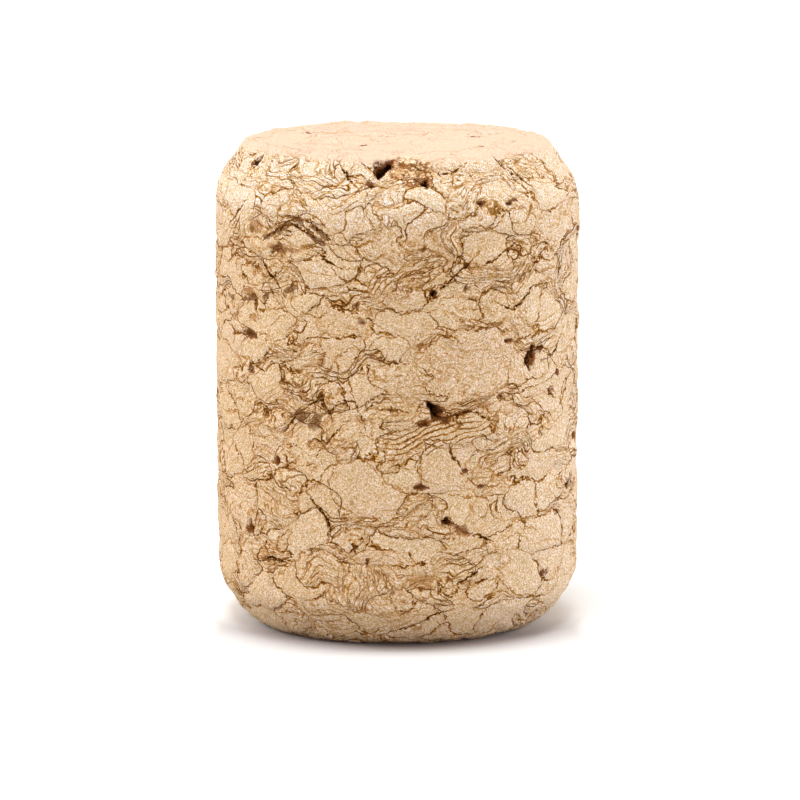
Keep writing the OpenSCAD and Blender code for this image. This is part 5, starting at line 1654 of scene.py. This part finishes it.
def cork_tone(n, at, streak, chip):
    """From 0 for tan to 1 for cream: the granule's own tone, mottled and flecked, streaked along its
    growth, and broken up into chips where the edge has crumbled, which are made paler there as painted
    light against the broken place's own shade."""
    grown = n.centred(at.grown(n, *GROWN_NOISE), GROWN_TONE)
    tone = n.sum(
        n.eased(at.tone, FACE_TONE, TONE_SPREAD),
        n.centred(at.mottle, MOTTLE_TONE),
        # the chips, made paler as painted light against the broken place's own shade
        n.product(n.sum(n.centred(chip, CHIP_TONE), CHIPS_PAINTED_LIGHT), at.broken),
        n.product(n.centred(streak, STREAK_TONE), n.ramp(at.growth, *STREAK_BY_GROWTH)),
        n.centred(at.grown(n, *FLECK_NOISE), FLECK_TONE),
        n.product(grown, at.growth),
    )
    return n.eased(tone, FACE_TONE, at.calm, clamp=True)


PINK_BY_CHANCE = (0.2, 0.8)


def ground_colour(n, at, tone):
    """Tan to cream by the tone, some granules pinker, and painted light that makes it paler at the top
    and to the right.
    """
    colour = n.blend(tone, TAN, n.blend(n.ramp(at.chance, *PINK_BY_CHANCE), CREAM, PINK_CREAM))
    # Painted light: paler at the top and to the right, where more light falls.
    pale = n.most(n.ramp(at.height, *PAINTED_LIGHT_BY_HEIGHT), n.ramp(at.aside, *PAINTED_LIGHT_BY_ASIDE))
    colour = n.blend(pale, colour, PALE)
    return n.blend(n.ramp(at.calm, *FACE_BY_CALM), colour, FACE_CREAM)


# Orange in the grooves is partly the seams' own colour and partly painted warm shade; on the crumbs it is
# partly rusty stain and partly painted warm shade.
STAIN_BY_GROOVE = (0.0, 0.6)
STAIN_BY_BEADS = (0.56, 0.74, 0.0, 0.45)
STAIN_BY_GRAIN = (0.4, 0.6, 0.0, 0.7)
STAIN_BY_LIP = (0.0, 0.6, 1.0, 0.4)
PATCH_RAGGED = 1.2
RUST_BY_PATCH = (0.3, 0.7, 0.0, 0.75)
BARK_BY_PATCH = (0.4, 0.7, 0.0, 0.85)


def tinted(n, at, colour, groove, lip):
    """Orange in the grooves, partly the seams' own colour and partly painted warm shade, stain in small
    spots, rusty stain and painted warm shade on the crumbs, then ragged patches of rust and bark.
    """
    stain_and_shade = n.most(n.ramp(groove, *STAIN_BY_GROOVE), n.ramp(at.beads, *STAIN_BY_BEADS),
                     n.product(at.broken, n.ramp(at.grain, *STAIN_BY_GRAIN)))
    stain_and_shade = n.product(stain_and_shade, at.calm, n.ramp(lip, *STAIN_BY_LIP))
    # Orange stain, and painted warm shade in the grooves and on the crumbs.
    colour = n.tinged(stain_and_shade, colour, STAIN_AND_WARM_SHADE)
    ragged = n.centred(at.mottle, PATCH_RAGGED)
    for patch, shown, tint in ((at.rust, RUST_BY_PATCH, RUST), (at.bark, BARK_BY_PATCH, BARK)):
        colour = n.blend(n.ramp(n.sum(patch, ragged), *shown), colour, tint)
    return colour


# How strongly the painted highlight on the lips of the lines shows.
LIP_HIGHLIGHT_SHARE = 0.5
CORE_BY_CORE = (0.0, 1.0)
CORE_SHARE = 0.97
# How strongly painted shade fills the middles of gaping lines.
GAPE_SHADE_SHARE = 0.8


def lined(n, at, colour, core, lip, gape):
    """Painted highlights on the lips, brown cores, and painted shade in the near black middles of the
    lines that gape.
    """
    # Painted highlight on the lips.
    colour = n.tinged(n.product(lip, LIP_HIGHLIGHT_SHARE), colour, LIP_HIGHLIGHT_GAIN)
    core = n.product(n.ramp(core, *CORE_BY_CORE), at.calm)
    colour = n.blend(n.product(core, CORE_SHARE), colour, SEAM_BROWN)
    # Painted shade in the gaping middles.
    return n.blend(n.product(gape, GAPE_SHADE_SHARE), colour, HOLLOW_SHADE)


GAP_SHARE = 0.85
MISSING_BY_GRAIN = (0.35, 0.6, 0.5, 0.9)


def crumbled(n, at, colour, gap, missing):
    """Brown gaps and holes between the chips, and painted light that lifts the broken place against its
    own shade.
    """
    colour = n.blend(n.product(gap, GAP_SHARE), colour, SEAM_BROWN)
    colour = n.blend(n.product(missing, n.ramp(at.grain, *MISSING_BY_GRAIN)), colour, PIT_BROWN)
    # Painted light on the broken place.
    return n.tinged(at.broken, colour, BREAK_PAINTED_LIGHT_GAIN)


RIM_RAGGED = 0.3
RIM_CHIPPED = 0.25
PIT_BY_RIM = (0.0, 0.05, 1.0, 0.0)
PIT_BY_BOTTOM = (0.15, 0.45, 0.1, 0.95)
# Painted shadow at the bottom of pits: by the rim, by the depth and by a noise.
SHADE_BY_RIM = (-0.17, -0.08, 1.0, 0.0)
SHADE_BY_BOTTOM = (0.25, 0.6)
SHADE_BY_MOTTLE = (0.4, 0.55, 0.6, 1.0)


def pitted(n, at, colour):
    """Brown walls and a painted shadow at the bottom of every pit, as strong as the pit is deep, with a
    ragged edge.
    """
    chipped = n.product(n.split(at.chipped)[0], RIM_CHIPPED)
    rim = n.sum(at.rim, n.centred(at.mottle, RIM_RAGGED), chipped)
    walls = n.product(n.ramp(rim, *PIT_BY_RIM), n.ramp(at.bottom, *PIT_BY_BOTTOM))
    # Painted shadow, stronger in deeper pits.
    deep = n.product(n.ramp(at.bottom, *SHADE_BY_BOTTOM), n.ramp(at.mottle, *SHADE_BY_MOTTLE))
    colour = n.blend(walls, colour, PIT_BROWN)
    return n.blend(n.product(n.ramp(rim, *SHADE_BY_RIM), deep), colour, HOLLOW_SHADE)


SPECK_BY_GRAIN = (0.28, 0.72, 0.86, 1.14)
SPECK_BY_FINE = (0.28, 0.72, 0.62, 1.38)
RED_POWER = 0.75


def specked(n, at, colour):
    """Fine light and dark specks. Red follows them least, as speck^0.75, and blue most, as speck^2."""
    speck = n.product(n.ramp(at.grain, *SPECK_BY_GRAIN), n.ramp(at.fine, *SPECK_BY_FINE))
    speck = n.eased(speck, 1.0, at.calm)
    gains = n.joined(n.math("POWER", speck, RED_POWER), speck, n.product(speck, speck))
    return n.vector("MULTIPLY", colour, gains)


# Heights of the bump, in millimetres.
GRAIN_HEIGHT = 0.06
MOTTLE_HEIGHT = 0.1
STREAK_HEIGHT = 0.05
LIP_HEIGHT = 0.02
GROOVE_HEIGHT = -0.05
GAP_HEIGHT = -0.015
MISSING_HEIGHT = -0.03
BUMP_BY_CALM = (0.0, 1.0, 0.5, 1.0)


def cork_bump(n, at, parts):
    """The normal of a surface that stands out by each part times its height."""
    level = n.sum(*(n.product(part, height) for part, height in parts))
    level = n.product(level, n.ramp(at.calm, *BUMP_BY_CALM))
    height = n.math("DIVIDE", level, METRE)
    return n.add("ShaderNodeBump", {"Height": height, "Distance": 1.0, "Strength": 1.0}).outputs[0]


def cork_material():
    """Pressed cork: granules of their own tones with growth lines, brown seams between them, crumbled
    places, bark and rust tints, pits and a fine matt grain. Painted light makes the top, the right and
    the broken place paler and lights the lips of lines; painted shade darkens the bottoms of pits and the
    middles of gaping lines, and warms the grooves and crumbs."""
    material = bpy.data.materials.new("pressed_cork")
    material.use_nodes = True
    n = Nodes(material.node_tree)
    at = Spot(n)
    streak = at.grown(n, *STREAK_NOISE)
    core, groove, lip, gape = all_lines(n, at)
    gap, missing, chip = crumbs(n, at)
    colour = ground_colour(n, at, cork_tone(n, at, streak, chip))
    colour = tinted(n, at, colour, groove, lip)
    colour = lined(n, at, colour, core, lip, gape)
    colour = crumbled(n, at, colour, gap, missing)
    colour = specked(n, at, pitted(n, at, colour))
    normal = cork_bump(n, at, (
        (at.grain, GRAIN_HEIGHT), (at.mottle, MOTTLE_HEIGHT), (streak, STREAK_HEIGHT),
        (lip, LIP_HEIGHT), (groove, GROOVE_HEIGHT), (gap, GAP_HEIGHT), (missing, MISSING_HEIGHT)))
    shader = n.add("ShaderNodeBsdfPrincipled", {
        "Base Color": colour, "Roughness": ROUGHNESS, "Normal": normal, "Specular IOR Level": MIRRORING})
    n.add("ShaderNodeOutputMaterial", {"Surface": shader.outputs[0]})
    return material


# ----------------------------------------
# Stage: floor, light and camera, in metres
# ----------------------------------------

# Brightness of the floor and the sky: as light on the stopper, and to the camera.
FLOOR_WHITE = (0.7, 1.0)
SKY_WHITE = (0.2, 1.0)
FLOOR_SIDE = 4.0

# The shade where the foot meets the floor: what it multiplies the floor's white by, how far it looks
# for the stopper, and the smooth steps by which it clears with openness, backwards and to the sides.
CONTACT = (0.44, 0.395, 0.39)
CONTACT_REACH = 0.008
CONTACT_CLEAR = (0.3, 0.95)
CONTACT_BACK = (-0.008, 0.0)
CONTACT_SIDE = (0.0102, 0.013)

CAMERA_DISTANCE = 0.32
CAMERA_RISE = 10.08
CAMERA_LENS = 216.07
CAMERA_SHIFT = (0.0035, -0.0285)
CAMERA_CLIP = 0.01

LAMPS = (
    # name, place, size, watts
    ("key", (-0.12, -0.45, 0.95), 0.35, 3.4),
    ("overhead", (0.0, 0.1, 0.9), 0.6, 4.6),
    ("left_side", (-0.9, 0.25, 0.35), 0.5, 3.4),
    ("right_side", (0.9, 0.25, 0.35), 0.5, 5.1),
    ("left_high", (-0.65, -0.15, 0.7), 0.5, 3.1),
    ("left_low", (-0.7, -0.6, 0.2), 0.5, 1.5),
    ("right_low", (0.7, -0.6, 0.2), 0.5, 2.9),
)


def seen_directly(n):
    """1 for what the camera sees, itself or in gloss or glass, and 0 for light on the object."""
    path = n.add("ShaderNodeLightPath").outputs
    mirrored = n.most(path["Is Glossy Ray"], path["Is Transmission Ray"])
    return n.most(path["Is Camera Ray"], mirrored)


def floor_material():
    """A plain white sheet with a soft shade where the front of the foot comes close to it."""
    material = bpy.data.materials.new("white_sheet")
    material.use_nodes = True
    n = Nodes(material.node_tree)
    level = n.ramp(seen_directly(n), 0.0, 1.0, *FLOOR_WHITE)
    white = n.joined(level, level, level)
    aside, forward, _ = n.split(n.position())
    openness = n.add("ShaderNodeAmbientOcclusion", {"Distance": CONTACT_REACH}).outputs["AO"]
    clear = n.most(n.ramp(openness, *CONTACT_CLEAR), n.ramp(forward, *CONTACT_BACK),
                   n.ramp(n.size(aside), *CONTACT_SIDE))
    colour = n.blend(clear, n.vector("MULTIPLY", white, CONTACT), white)
    sheet = n.add("ShaderNodeBsdfDiffuse", {"Color": colour})
    n.add("ShaderNodeOutputMaterial", {"Surface": sheet.outputs[0]})
    return material


def make_floor():
    """A square white floor under the stopper."""
    mesh = bpy.data.meshes.new("floor")
    side = FLOOR_SIDE / 2
    corners = [(-side, -side, 0), (side, -side, 0), (side, side, 0), (-side, side, 0)]
    mesh.from_pydata(corners, [], [(0, 1, 2, 3)])
    mesh.materials.append(floor_material())
    floor = placed_object("floor", mesh)


def make_sky():
    """A white sky that lights the stopper softly."""
    world = bpy.data.worlds.new("white_room")
    bpy.context.scene.world = world
    world.use_nodes = True
    n = Nodes(world.node_tree)
    level = n.ramp(seen_directly(n), 0.0, 1.0, *SKY_WHITE)
    sky = n.add("ShaderNodeBackground", {"Color": (1, 1, 1, 1), "Strength": level})
    n.add("ShaderNodeOutputWorld", {"Surface": sky.outputs[0]})


def make_lamp(name, place, size, watts, aim):
    """A square lamp that faces the aim."""
    light = bpy.data.lights.new(name, "AREA")
    light.size = size
    light.energy = watts
    lamp = placed_object(name, light)
    lamp.location = place
    lamp.rotation_euler = (aim - Vector(place)).to_track_quat("-Z", "Y").to_euler()


def make_camera(aim):
    """The camera in front of the aim, CAMERA_RISE degrees above it."""
    rise = math.radians(CAMERA_RISE)
    camera = placed_object("camera", bpy.data.cameras.new("camera"))
    camera.data.lens = CAMERA_LENS
    camera.data.shift_x, camera.data.shift_y = CAMERA_SHIFT
    camera.data.clip_start = CAMERA_CLIP
    camera.location = aim + CAMERA_DISTANCE * Vector((0, -math.cos(rise), math.sin(rise)))
    camera.rotation_euler = (math.pi / 2 - rise, 0, 0)
    bpy.context.scene.camera = camera


def make_stage():
    """A white floor, a white sky, lamps that face the stopper, and the camera."""
    make_floor()
    make_sky()
    aim = Vector((0, 0, BODY_H / METRE / 2))
    for row in LAMPS:
        make_lamp(*row, aim)
    make_camera(aim)
    bpy.context.scene.view_settings.view_transform = "Standard"


make_stage()
cork_body = stopper_piece(pressed_granules(), drawn_lines(), all_pits())
cork_body.data.materials.append(cork_material())
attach(cork_body, "root")
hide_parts("stopper")
